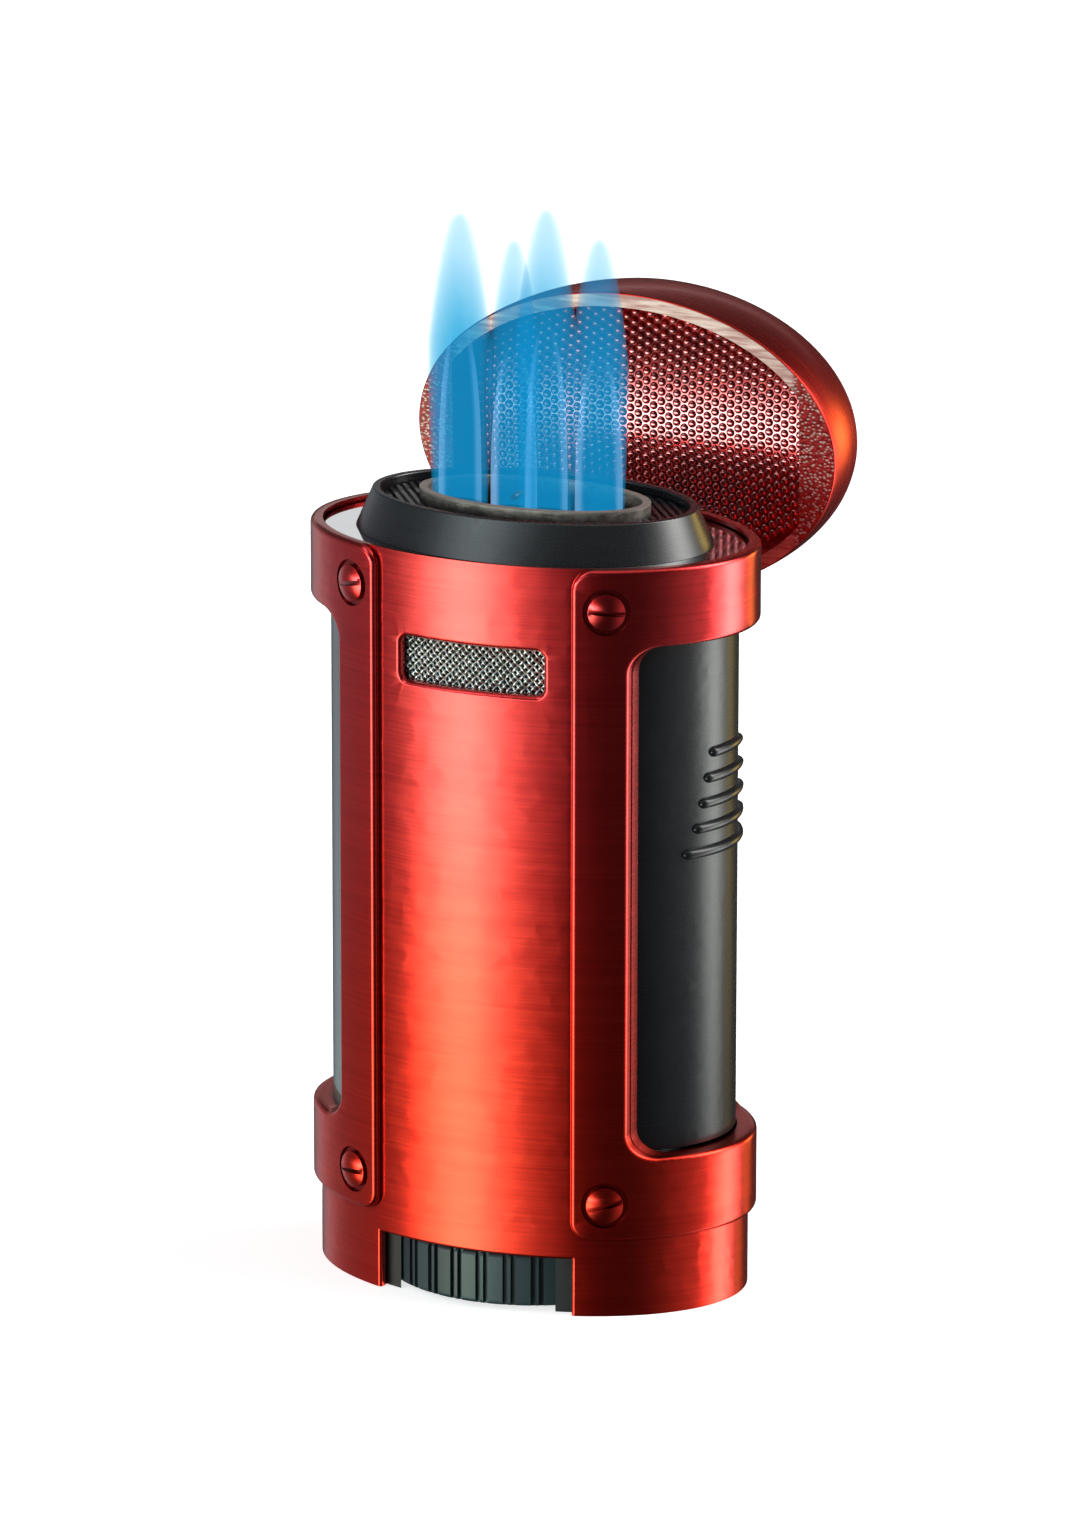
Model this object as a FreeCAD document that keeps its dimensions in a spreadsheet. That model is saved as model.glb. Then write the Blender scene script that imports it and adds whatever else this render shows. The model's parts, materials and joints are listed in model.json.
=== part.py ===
import FreeCAD, Part
import Sketcher
import math
import os

# Four-jet pocket torch lighter with a side trigger, a hinged lid and a flame wheel in the base.
# Frame: origin at the centre of the base's bottom plane, +X the trigger side (right), -Y the front
# with the vent window, +Z up. Millimetres. The lid rests in its open position.

doc = FreeCAD.newDocument("torch_lighter")
V = FreeCAD.Vector

# ---------------------------------------------------------------- driving dimensions
# _rx and _ry are an upright oval's radii along X and Y; _x and _y alone are half widths or places.
SIZES = [
    # case
    ("case_rx", 20.0), ("case_ry", 13.92), ("rim_z", 65.33), ("skin", 0.7), ("wall", 1.0),
    ("ledge_z", 63.6), ("lip_inset", 1.05), ("foot_x", 8.9), ("foot_z", 5.0),
    ("vent_x", 6.55), ("vent_z0", 54.2), ("vent_z1", 58.1), ("vent_corner", 0.7),
    ("slot_x", 5.2), ("slot_z", 54.8), ("fit", 0.02),
    # side frames and their openings
    ("skirt_z", 6.915), ("panel_x", 8.985), ("panel_low", 1.6), ("panel_top", 1.75),
    ("frame_gap", 0.01), ("open_x", 13.4), ("open_z0", 14.0), ("open_z1", 58.6),
    ("open_corner", 2.3),
    # edge roundings
    ("soft_edge", 0.42), ("soft_vent", 0.4), ("soft_foot", 0.3), ("soft_collar", 0.16),
    # frame screws
    ("screw_x", 11.86), ("screw_z0", 10.07), ("screw_z1", 61.78), ("screw_head", 1.56),
    ("seat_radius", 2.0), ("seat_depth", 0.3), ("screw_head_height", 0.8),
    ("screw_radius", 0.8), ("screw_length", 2.1), ("screw_slot", 0.42),
    ("screw_slot_depth", 0.42),
    # side panels: trigger and fuel window
    ("panel_inset", 1.82), ("panel_wall", 1.5), ("pane_wall", 1.1), ("flange_x", 13.05),
    ("trigger_z0", 14.25), ("trigger_z1", 59.3), ("pane_z0", 13.3),
    ("rib_width", 1.0), ("rib_height", 0.45), ("rib_border", 0.26), ("rib_groove", 0.22),
    ("rib_z0", 39.9), ("rib_z1", 42.0), ("rib_z2", 44.1), ("rib_z3", 46.25), ("rib_z4", 48.4),
    ("rib_y0", 5.39), ("rib_y1", 4.54), ("rib_y2", 3.98), ("rib_y3", 3.49), ("rib_y4", 2.94),
    ("pivot_x", 14.8), ("pivot_z", 15.4), ("pivot_radius", 0.8), ("pivot_eye", 1.3),
    ("ear_y0", 2.5), ("ear_y1", 3.7), ("trim_inset", 0.6),
    ("boss_x", 12.9), ("boss_y", 1.8), ("boss_z", 42.8), ("boss_radius", 1.5),
    ("cam_x", 14.55), ("cam_y", 1.4), ("cam_z", 24.0), ("cam_radius", 1.0),
    # base and flame wheel
    ("base_z", 6.6), ("base_inset", 1.72), ("bay_z", 5.2), ("bay_radius", 13.35),
    ("wheel_radius", 13.1), ("wheel_z0", 0.35), ("wheel_z1", 4.95), ("hub_radius", 3.35),
    ("wheel_teeth", 34), ("groove_depth", 0.42), ("groove_y0", 0.14), ("groove_y1", 0.56),
    ("wheel_round", 0.45), ("sleeve_bore", 2.46), ("sleeve_radius", 3.28),
    ("sleeve_z0", 0.75), ("sleeve_z1", 4.45), ("key_x", 3.9), ("key_y", 0.6),
    ("fill_radius", 2.4), ("fill_flange", 4.2), ("fill_top", 10.6), ("fill_bore", 0.95),
    ("fill_bore_depth", 5.0), ("base_screw_x", 15.9), ("base_shank", 0.8), ("base_head", 1.4),
    # fuel tank
    ("tank_rx", 16.8), ("tank_ry", 10.7), ("tank_x", 11.0), ("tank_z0", 6.62),
    ("tank_z1", 33.0), ("tank_wall", 1.1), ("cap_z1", 35.0), ("seal_height", 0.5),
    # gas valve, stem and lever
    ("valve_radius", 2.6), ("valve_z0", 29.6), ("valve_z1", 36.1), ("valve_flange", 3.4),
    ("stem_radius", 0.9), ("stem_z0", 33.6), ("stem_z1", 38.7), ("stem_collar", 1.7),
    ("stem_collar_z0", 37.6), ("stem_collar_z1", 38.3),
    ("lever_x", 13.0), ("lever_z", 36.6), ("lever_pin", 0.6), ("lever_eye", 1.15),
    # piezo igniter
    ("piezo_x0", -13.0), ("piezo_x1", 3.5), ("piezo_y", 3.0), ("piezo_z0", 40.0),
    ("piezo_z1", 45.6), ("plunger_x0", 0.5), ("plunger_x1", 11.35), ("plunger_y", 2.1),
    ("plunger_z", 1.9), ("plunger_gap", 0.06),
    # burner, gas tube and spark electrode
    ("block_x", 8.6), ("block_y", 4.8), ("block_z0", 45.64), ("block_z1", 51.0),
    ("jet_inner_x", 2.1), ("jet_outer_x", 6.3), ("jet_radius", 1.4), ("jet_z1", 66.5),
    ("shroud_rx", 10.45), ("shroud_ry", 5.83), ("shroud_wall", 0.7), ("shroud_z0", 60.0),
    ("shroud_z1", 68.28), ("nipple_rise", 0.62), ("feed_z", 48.4), ("tube_back_y", 7.4),
    ("tube_bend", 1.3), ("tube_radius", 0.6), ("tube_bore", 0.42),
    ("spark_x", -1.85), ("spark_y", 3.0),
    # deck and collar
    ("deck_inset", 1.30), ("deck_z0", 63.62), ("deck_z1", 64.85), ("notch_y", 11.2),
    ("collar_rx0", 15.9), ("collar_ry0", 11.15), ("collar_rx1", 14.55), ("collar_ry1", 9.2),
    ("collar_z0", 64.87), ("collar_z1", 68.1), ("collar_bore_rx", 13.85),
    ("collar_bore_ry", 8.5), ("insert_z0", 66.0), ("insert_z1", 67.1), ("ridge_z", 67.35),
    ("ridge_pitch", 0.67),
    # lid hinge
    ("hinge_y", 10.6), ("hinge_z", 57.9), ("hinge_radius", 0.8), ("hinge_fit", 0.05),
    ("knuckle_radius", 2.0), ("knuckle_x0", 2.4), ("knuckle_x1", 4.7),
    ("bracket_x0", 5.0), ("bracket_x1", 6.4), ("pin_x", 6.5), ("open_degrees", 88.0),
    ("arm_x", 4.8), ("arm_y0", 11.4), ("arm_y1", 12.2), ("arm_z1", 68.5),
    ("lid_screw_x", 2.6), ("lid_screw_z", 67.3),
    # lid: three stacked ovals, the cavity and the liner
    ("lid_rx0", 19.7), ("lid_ry0", 13.2), ("lid_z0", 65.8), ("lid_height", 9.5),
    ("lid_rx1", 19.25), ("lid_ry1", 13.05), ("lid_mid", 5.5), ("lid_rx2", 17.6),
    ("lid_ry2", 12.3), ("lid_wall", 1.2), ("lid_land", 16.4), ("lid_deep", 6.6),
    ("liner_height", 0.6),
]
FAR = 30        # beyond every piece in X and Y
ACROSS = 60     # through the whole product when cut both ways from its middle

OPERATIONS = {"+": float.__add__, "-": float.__sub__, "*": float.__mul__, "/": float.__truediv__}


class Size:
    """A size: its value now, and the sheet formula that drives it."""

    def __init__(self, value, formula):
        self.value = float(value)
        self.formula = formula

    def __add__(self, other):
        return combine(self, "+", other)

    def __sub__(self, other):
        return combine(self, "-", other)

    def __mul__(self, other):
        return combine(self, "*", other)

    def __rmul__(self, other):
        return combine(other, "*", self)

    def __truediv__(self, other):
        return combine(self, "/", other)

    def __neg__(self):
        return Size(-self.value, "(0 - %s)" % self.formula)


def as_size(number):
    return number if isinstance(number, Size) else Size(number, "%.6f" % float(number))


def combine(left, sign, right):
    left, right = as_size(left), as_size(right)
    value = OPERATIONS[sign](left.value, right.value)
    return Size(value, "(%s %s %s)" % (left.formula, sign, right.formula))


class Dimensions:
    """Holds one Size per alias of the sheet."""


dim = Dimensions()
sheet = doc.addObject("Spreadsheet::Sheet", "Dims")
for row, (alias, number) in enumerate(SIZES, 1):
    sheet.set("A%d" % row, alias)
    sheet.set("B%d" % row, repr(number))
    sheet.setAlias("B%d" % row, alias)
    setattr(dim, alias, Size(number, "Dims." + alias))
doc.recompute()


# ---------------------------------------------------------------- general helpers
PARTS = []


def keep(obj, placement=None):
    """Marks an object as a piece of the product, exported under its label."""
    if placement is not None:
        obj.Placement = placement
    PARTS.append(obj)


def keep_shape(name, shape, placement=None):
    """Keeps a shape that neither workbench makes directly."""
    obj = doc.addObject("Part::Feature", name)
    obj.Shape = shape
    keep(obj, placement)


def bind(obj, prop, size):
    obj.setExpression(prop, as_size(size).formula)


def bind_place(obj, x, y, z):
    for axis, size in zip("xyz", (x, y, z)):
        bind(obj, "Placement.Base." + axis, size)


def inset(radii, gap):
    return radii[0] - gap, radii[1] - gap


def outset(radii, gap):
    return radii[0] + gap, radii[1] + gap


def both_sides(near, far):
    """A span on the positive side and its mirror image."""
    return (near, far), (-far, -near)


def copies(shape, places):
    """Compound of the shape's copies at these x places."""
    solids = []
    for x in places:
        solid = shape.copy()
        solid.translate(V(as_size(x).value, 0, 0))
        solids.append(solid)
    return Part.makeCompound(solids)


def swept_rod(points, radius):
    """Round rod along a smooth line through the points."""
    curve = Part.BSplineCurve()
    curve.interpolate([V(*point) for point in points])
    start = curve.value(curve.FirstParameter)
    tangent = curve.tangent(curve.FirstParameter)[0]
    profile = Part.Wire(Part.makeCircle(radius, start, tangent))
    return Part.Wire(curve.toShape()).makePipeShell([profile], True, True)


# ---------------------------------------------------------------- Part workbench pieces
AXIS_TURNS = {
    "X": FreeCAD.Rotation(V(0, 1, 0), 90),
    "Y": FreeCAD.Rotation(V(1, 0, 0), -90),
    "Z": FreeCAD.Rotation(V(0, 0, 1), 0),
}


def box(name, x0, x1, y0, y1, z0, z1):
    obj = doc.addObject("Part::Box", name)
    bind(obj, "Length", as_size(x1) - x0)
    bind(obj, "Width", as_size(y1) - y0)
    bind(obj, "Height", as_size(z1) - z0)
    bind_place(obj, x0, y0, z0)
    return obj


def slab(name, x0, x1):
    """Box over the product's whole depth and height between two x places."""
    return box(name, x0, x1, -FAR, FAR, 0, 80)


def cylinder(name, radius, length, x=0, y=0, z=0, axis="Z"):
    obj = doc.addObject("Part::Cylinder", name)
    obj.Placement = FreeCAD.Placement(V(0, 0, 0), AXIS_TURNS[axis])
    bind(obj, "Radius", radius)
    bind(obj, "Height", length)
    bind_place(obj, x, y, z)
    return obj


def ellipse(name, radii, z):
    obj = doc.addObject("Part::Ellipse", name)
    bind(obj, "MajorRadius", radii[0])
    bind(obj, "MinorRadius", radii[1])
    bind_place(obj, 0, 0, z)
    return obj


def oval(name, radii, z0, z1):
    """Upright elliptical bar on the Z axis."""
    bar = doc.addObject("Part::Extrusion", name)
    bar.Base = ellipse(name + "_edge", radii, z0)
    bar.DirMode = "Custom"
    bar.Dir = V(0, 0, 1)
    bar.Solid = True
    bind(bar, "LengthFwd", as_size(z1) - z0)
    return bar


def cut(name, base, tool):
    obj = doc.addObject("Part::Cut", name)
    obj.Base = base
    obj.Tool = tool
    return obj


def common(name, base, tool):
    obj = doc.addObject("Part::Common", name)
    obj.Base = base
    obj.Tool = tool
    return obj


def fuse(name, *shapes):
    obj = doc.addObject("Part::MultiFuse", name)
    obj.Shapes = list(shapes)
    obj.Refine = False
    return obj


# ---------------------------------------------------------------- sketch geometry
def constrain(sketch, size, *constraint):
    """Adds a dimension and ties it to its formula."""
    index = sketch.addConstraint(Sketcher.Constraint(*constraint, size.value))
    sketch.setExpression("Constraints[%d]" % index, size.formula)


def pin_point(sketch, index, position, x, y):
    constrain(sketch, as_size(x), "DistanceX", -1, 1, index, position)
    constrain(sketch, as_size(y), "DistanceY", -1, 1, index, position)


def add_circle(sketch, radius, x=0, y=0):
    radius, x, y = as_size(radius), as_size(x), as_size(y)
    circle = Part.Circle(V(x.value, y.value, 0), V(0, 0, 1), radius.value)
    index = sketch.addGeometry(circle, False)
    pin_point(sketch, index, 3, x, y)
    constrain(sketch, radius, "Radius", index)


def add_oval(sketch, radii):
    rx, ry = radii
    index = sketch.addGeometry(Part.Ellipse(V(0, 0, 0), rx.value, ry.value), False)
    sketch.exposeInternalGeometry(index)
    major, minor = index + 1, index + 2
    sketch.addConstraint(Sketcher.Constraint("Coincident", index, 3, -1, 1))
    sketch.addConstraint(Sketcher.Constraint("Horizontal", major))
    constrain(sketch, 2 * rx, "Distance", major)
    constrain(sketch, 2 * ry, "Distance", minor)


def arc_between(start, finish):
    """Arc of the radius start[2], anticlockwise when that is positive."""
    radius = start[2]
    half_x, half_y = (finish[0] - start[0]) / 2, (finish[1] - start[1]) / 2
    half = math.hypot(half_x, half_y)
    rise = math.copysign(math.sqrt(max(radius * radius - half * half, 0.0)), radius)
    x = start[0] + half_x - half_y / half * rise
    y = start[1] + half_y + half_x / half * rise
    angles = [math.atan2(point[1] - y, point[0] - x) for point in (start, finish)]
    if radius < 0:
        angles.reverse()
    return Part.ArcOfCircle(Part.Circle(V(x, y, 0), V(0, 0, 1), abs(radius)), *angles)


def add_outline(sketch, points, closed=True):
    """Chain of lines and arcs. Each point is (x, y) or (x, y, radius): a radius starts an arc
    to the next point, positive when the arc runs anticlockwise."""
    first = len(sketch.Geometry)
    count = len(points)
    segments = count if closed else count - 1
    ends = []
    for k in range(segments):
        start = [as_size(value).value for value in points[k]]
        finish = [as_size(value).value for value in points[(k + 1) % count]]
        if len(start) == 2:
            edge = Part.LineSegment(V(start[0], start[1], 0), V(finish[0], finish[1], 0))
        else:
            edge = arc_between(start, finish)
        sketch.addGeometry(edge, False)
        clockwise = len(start) == 3 and start[2] < 0
        ends.append((2, 1) if clockwise else (1, 2))
    for k in range(segments if closed else segments - 1):
        after = (k + 1) % count
        sketch.addConstraint(Sketcher.Constraint(
            "Coincident", first + k, ends[k][1], first + after, ends[after][0]))
    for k in range(segments):
        pin_point(sketch, first + k, ends[k][0], points[k][0], points[k][1])
        if len(points[k]) == 3:
            radius = as_size(points[k][2])
            constrain(sketch, radius if radius.value > 0 else -radius, "Radius", first + k)
    if not closed:
        pin_point(sketch, first + segments - 1, ends[-1][1], points[-1][0], points[-1][1])


def add_rect(sketch, x0, x1, y0, y1, corner=None):
    if corner is None:
        add_outline(sketch, [(x0, y0), (x1, y0), (x1, y1), (x0, y1)])
        return
    x0, x1, y0, y1 = map(as_size, (x0, x1, y0, y1))
    add_outline(sketch, [
        (x0 + corner, y0), (x1 - corner, y0, corner), (x1, y0 + corner), (x1, y1 - corner, corner),
        (x1 - corner, y1), (x0 + corner, y1, corner), (x0, y1 - corner), (x0, y0 + corner, corner)])


def mirrored(points, start=0):
    """The outline mirrored to the -X side and run backwards from one of its points, so that
    its arcs keep their signs."""
    flipped = []
    for k in range(start, start - len(points), -1):
        point, before = points[k % len(points)], points[(k - 1) % len(points)]
        flipped.append((-as_size(point[0]), point[1]) + before[2:])
    return flipped


# ---------------------------------------------------------------- PartDesign pieces
class Piece:
    """A PartDesign body. Sketches on XZ_Plane have their normal along -Y."""

    def __init__(self, name, export=True):
        self.body = doc.addObject("PartDesign::Body", name)
        self.name = name
        self.count = 0
        if export:
            keep(self.body)

    def origin(self, role):
        return [part for part in self.body.Origin.OriginFeatures if part.Role == role][0]

    def add(self, kind, tag):
        self.count += 1
        return self.body.newObject(kind, "%s_%s%d" % (self.name, tag, self.count))

    def sketch(self, plane="XY_Plane", offset=0):
        """Empty sketch, offset along the plane's normal."""
        sketch = self.add("Sketcher::SketchObject", "sk")
        sketch.AttachmentSupport = [(self.origin(plane), "")]
        sketch.MapMode = "FlatFace"
        bind(sketch, "AttachmentOffset.Base.z", offset)
        return sketch

    def feature(self, kind, profile):
        feature = self.add("PartDesign::" + kind, kind.lower())
        feature.Profile = profile
        profile.Visibility = False
        return feature

    def volume(self):
        doc.recompute()
        return self.body.Shape.Volume

    def pad(self, sketch, length):
        feature = self.feature("Pad", sketch)
        bind(feature, "Length", length)
        doc.recompute()

    def pocket(self, sketch, depth=None, side="One side", along_normal=True):
        """Pocket to a depth, or through all when none is given."""
        before = self.volume()
        feature = self.feature("Pocket", sketch)
        feature.SideType = side
        feature.Reversed = along_normal
        if depth is None:
            feature.Type = "ThroughAll"
        else:
            bind(feature, "Length", depth)
        if self.volume() >= before - 1e-4:
            raise RuntimeError("%s removes nothing" % feature.Name)
        return feature

    def pad_oval(self, radii, z0, z1):
        sketch = self.sketch(offset=z0)
        add_oval(sketch, radii)
        self.pad(sketch, as_size(z1) - z0)

    def cut_oval(self, radii, z0, z1):
        sketch = self.sketch(offset=z0)
        add_oval(sketch, radii)
        self.pocket(sketch, as_size(z1) - z0)

    def drill(self, radius, z=0, depth=None, x=0):
        """Round hole upwards from the height z."""
        sketch = self.sketch(offset=z)
        add_circle(sketch, radius, x=x)
        self.pocket(sketch, depth)

    def cut_across(self, points):
        """Cuts an outline drawn in X and Z through both front and back."""
        sketch = self.sketch("XZ_Plane")
        add_outline(sketch, points)
        self.pocket(sketch, ACROSS, side="Symmetric")

    def cut_rect_across(self, x0, x1, z0, z1):
        self.cut_across([(x0, z0), (x1, z0), (x1, z1), (x0, z1)])

    def revolve(self, points):
        """Turns an outline of radius and height about the Z axis."""
        sketch = self.sketch("XZ_Plane")
        add_outline(sketch, points)
        feature = self.feature("Revolution", sketch)
        feature.ReferenceAxis = (sketch, ["V_Axis"])
        feature.Angle = 360.0
        doc.recompute()

    def round_edges(self, wanted, radius):
        tip = self.body.Tip
        names = ["Edge%d" % k for k, edge in enumerate(tip.Shape.Edges, 1) if wanted(edge)]
        fillet = self.body.newObject("PartDesign::Fillet", self.name + "_round")
        fillet.Base = (tip, names)
        bind(fillet, "Radius", radius)
        doc.recompute()

    def polar(self, feature, occurrences):
        pattern = self.add("PartDesign::PolarPattern", "polar")
        pattern.Originals = [feature]
        pattern.Axis = (self.origin("Z_Axis"), [""])
        pattern.Angle = 360.0
        bind(pattern, "Occurrences", occurrences)
        self.body.Tip = pattern
        doc.recompute()


# ---------------------------------------------------------------- shared ovals and places
CASE = (dim.case_rx, dim.case_ry)
SHELL = inset(CASE, dim.skin)
SHELL_BORE = inset(SHELL, dim.wall)
PANEL = inset(CASE, dim.panel_inset)
TANK = (dim.tank_rx, dim.tank_ry)
TANK_BORE = inset(TANK, dim.tank_wall)
SHROUD = (dim.shroud_rx, dim.shroud_ry)
SHROUD_BORE = inset(SHROUD, dim.shroud_wall)
COLLAR_BORE = (dim.collar_bore_rx, dim.collar_bore_ry)
LID_BORE = inset((dim.lid_rx0, dim.lid_ry0), dim.lid_wall)

JET_PLACES = (-dim.jet_outer_x, -dim.jet_inner_x, dim.jet_inner_x, dim.jet_outer_x)
LID_SCREW_PLACES = (dim.lid_screw_x, -dim.lid_screw_x)
NIPPLE_Z = dim.cap_z1 + dim.nipple_rise
LID_OPEN = FreeCAD.Placement(
    V(0, 0, 0), FreeCAD.Rotation(V(1, 0, 0), -dim.open_degrees.value),
    V(0, dim.hinge_y.value, dim.hinge_z.value))


# ---------------------------------------------------------------- case shell and side frames
def oval_tube(piece, outer, inner, z0, z1):
    piece.pad_oval(outer, z0, z1)
    piece.cut_oval(inner, z0, z1)


def cut_side_opening(piece, sign, edge_x):
    """Opening from edge_x outwards, its two inner corners rounded."""
    corner, z0, z1 = dim.open_corner, dim.open_z0, dim.open_z1
    points = [(edge_x + corner, z0), (FAR, z0), (FAR, z1), (edge_x + corner, z1, corner),
              (edge_x, z1 - corner), (edge_x, z0 + corner, corner)]
    piece.cut_across(points if sign > 0 else mirrored(points, start=3))


def screw_sites():
    """The eight frame screws: point on the case's outer surface and outward direction."""
    rx, ry, x = dim.case_rx.value, dim.case_ry.value, dim.screw_x.value
    y = ry * math.sqrt(1 - (x / rx) ** 2)
    sites = []
    for side_x in (1, -1):
        for side_y in (1, -1):
            outward = V(side_x * x / rx ** 2, side_y * y / ry ** 2, 0).normalize()
            for z in (dim.screw_z0.value, dim.screw_z1.value):
                sites.append((V(side_x * x, side_y * y, z), outward))
    return sites


def screw_tools(radius, with_seats=False):
    """Clearance bars along the screws' axes, with the heads' seats if wanted."""
    tools = []
    for point, outward in screw_sites():
        tools.append(Part.makeCylinder(radius, 5.0, point - outward * 3.4, outward))
        if with_seats:
            seat = point - outward * dim.seat_depth.value
            tools.append(Part.makeCylinder(dim.seat_radius.value, 3.0, seat, outward))
    return tools


def drilled_and_softened(name, body, tools, radii, radius_at):
    """Drills the body, then rounds the edges on an oval's outer surface away from the screw
    holes. radius_at gives an edge's radius, or None, from its middle point."""
    drills = doc.addObject("Part::Feature", name + "_drills")
    drills.Shape = Part.makeCompound(tools)
    sharp = cut(name + "_sharp", body, drills)
    doc.recompute()
    rx, ry = radii[0].value, radii[1].value
    picked = []
    for k, edge in enumerate(sharp.Shape.Edges, 1):
        length = edge.LastParameter - edge.FirstParameter
        points = [edge.valueAt(edge.FirstParameter + length * share)
                  for share in (0.05, 0.35, 0.5, 0.8, 0.95)]
        if not all(abs((p.x / rx) ** 2 + (p.y / ry) ** 2 - 1) < 2e-3 for p in points):
            continue
        if min((p - site).Length for p in points for site, outward in screw_sites()) < 2.2:
            continue
        radius = radius_at(points[2])
        if radius:
            picked.append((k, radius, radius))
    soft = doc.addObject("Part::Fillet", name)
    soft.Base = sharp
    soft.Edges = picked
    keep(soft)


def shell_edge_radius(middle):
    """Rounds the vent window and the skirt's cut-outs only."""
    in_vent = dim.vent_z0.value - 0.1 < middle.z < dim.vent_z1.value + 0.1 and middle.y < 0
    if in_vent and abs(middle.x) < dim.vent_x.value + 0.1:
        return dim.soft_vent.value
    if middle.z < dim.foot_z.value + 0.1 and abs(middle.x) < dim.foot_x.value + 0.2:
        return dim.soft_foot.value
    return None


def make_case_shell():
    shell = Piece("case_shell_blank", export=False)
    shell.pad_oval(SHELL, 0, dim.rim_z)
    shell.cut_oval(SHELL_BORE, 0, dim.ledge_z)
    shell.cut_oval(inset(CASE, dim.lip_inset), dim.ledge_z, dim.rim_z)
    # front and back cut-outs of the skirt, through which the flame wheel is turned
    shell.cut_rect_across(-dim.foot_x, dim.foot_x, -1, dim.foot_z)
    for sign in (1, -1):
        cut_side_opening(shell, sign, dim.open_x + 0.08)
    # vent window in the front wall
    sketch = shell.sketch("XZ_Plane")
    add_rect(sketch, -dim.vent_x, dim.vent_x, dim.vent_z0, dim.vent_z1, dim.vent_corner)
    shell.pocket(sketch, 20)
    # slot in the back wall for the lid's hinge arm
    sketch = shell.sketch("XZ_Plane")
    add_rect(sketch, -dim.slot_x, dim.slot_x, dim.slot_z, dim.rim_z + 1)
    shell.pocket(sketch, 20, along_normal=False)
    tools = screw_tools(dim.screw_radius.value + 0.02)
    drilled_and_softened("case_shell", shell.body, tools, SHELL, shell_edge_radius)


def make_side_frame(sign, name):
    frame = Piece(name + "_blank", export=False)
    oval_tube(frame, CASE, outset(SHELL, dim.frame_gap), dim.skirt_z, dim.rim_z)
    # centre panel left open; its lower corner is rounded, its upper one sweeps out to the rim
    x, z0, z1, low, top = dim.panel_x, dim.skirt_z, dim.rim_z, dim.panel_low, dim.panel_top
    points = [(-FAR, z0 - 1), (x + low, z0 - 1), (x + low, z0, -low), (x, z0 + low),
              (x, z1 - top, -top), (x + top, z1), (x + top, z1 + 1), (-FAR, z1 + 1)]
    frame.cut_across(points if sign > 0 else mirrored(points))
    cut_side_opening(frame, sign, dim.open_x)
    tools = screw_tools(dim.screw_radius.value + 0.03, with_seats=True)
    drilled_and_softened(name, frame.body, tools, CASE, lambda middle: dim.soft_edge.value)


# turn of each frame screw's slot about its axis, degrees, in the order of screw_sites
SLOT_TURNS = [4, -9, 14, -5, 8, -16, 3, 11]


def make_frame_screws():
    """Eight slotted, domed screws in one node."""
    master = Piece("screw_master", export=False)
    radius, head, height = dim.screw_radius, dim.screw_head, dim.screw_head_height
    tip_z = -dim.screw_length
    dome = height * 0.55
    crown = (head * head + dome * dome) / (dome * 2)
    master.revolve([(0, tip_z), (radius - 0.2, tip_z), (radius, tip_z + 0.2), (radius, 0),
                    (head, 0), (head, height - dome, crown), (0, height)])
    half_slot = dim.screw_slot / 2
    slot = box("screw_slot", -2, 2, -half_slot, half_slot, height - dim.screw_slot_depth, 2)
    screw = cut("screw_one", master.body, slot)
    doc.recompute()
    up = V(0, 0, 1)
    solids = []
    for (point, outward), degrees in zip(screw_sites(), SLOT_TURNS):
        turn = FreeCAD.Rotation(outward.cross(up), up, outward, "ZXY")
        turn = turn.multiply(FreeCAD.Rotation(up, degrees))
        solid = screw.Shape.copy()
        solid.Placement = FreeCAD.Placement(point - outward * dim.seat_depth.value, turn)
        solids.append(solid)
    keep_shape("frame_screws", Part.makeCompound(solids))


def make_vent_mesh():
    """Curved sheet behind the front window."""
    outer = oval("mesh_outer", inset(SHELL_BORE, 0.03), dim.vent_z0 - 0.9, dim.vent_z1 + 0.9)
    inner = oval("mesh_inner", inset(SHELL_BORE, 0.38), dim.vent_z0 - 2, dim.vent_z1 + 2)
    window = box("mesh_box", -dim.vent_x - 0.9, dim.vent_x + 0.9, -20, -2, 50, 62)
    keep(common("vent_mesh", cut("mesh_ring", outer, inner), window))


# ---------------------------------------------------------------- side panels
def make_fuel_window():
    """Pane on the left side."""
    pane = Piece("fuel_window")
    oval_tube(pane, inset(SHELL_BORE, dim.fit), inset(SHELL_BORE, dim.pane_wall),
              dim.pane_z0, dim.trigger_z1)
    pane.cut_rect_across(-dim.flange_x, FAR, dim.pane_z0 - 1, dim.trigger_z1 + 1)


def rib_band(name, outer, inner, z, half_height, half_width):
    """Short band of an oval ring on the right side."""
    ring = cut(name + "_ring", oval(name + "_outer", outer, z - half_height, z + half_height),
               oval(name + "_inner", inner, z - 3, z + 3))
    return common(name, ring, box(name + "_box", 10, 25, -half_width, half_width, z - 2, z + 2))


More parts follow.
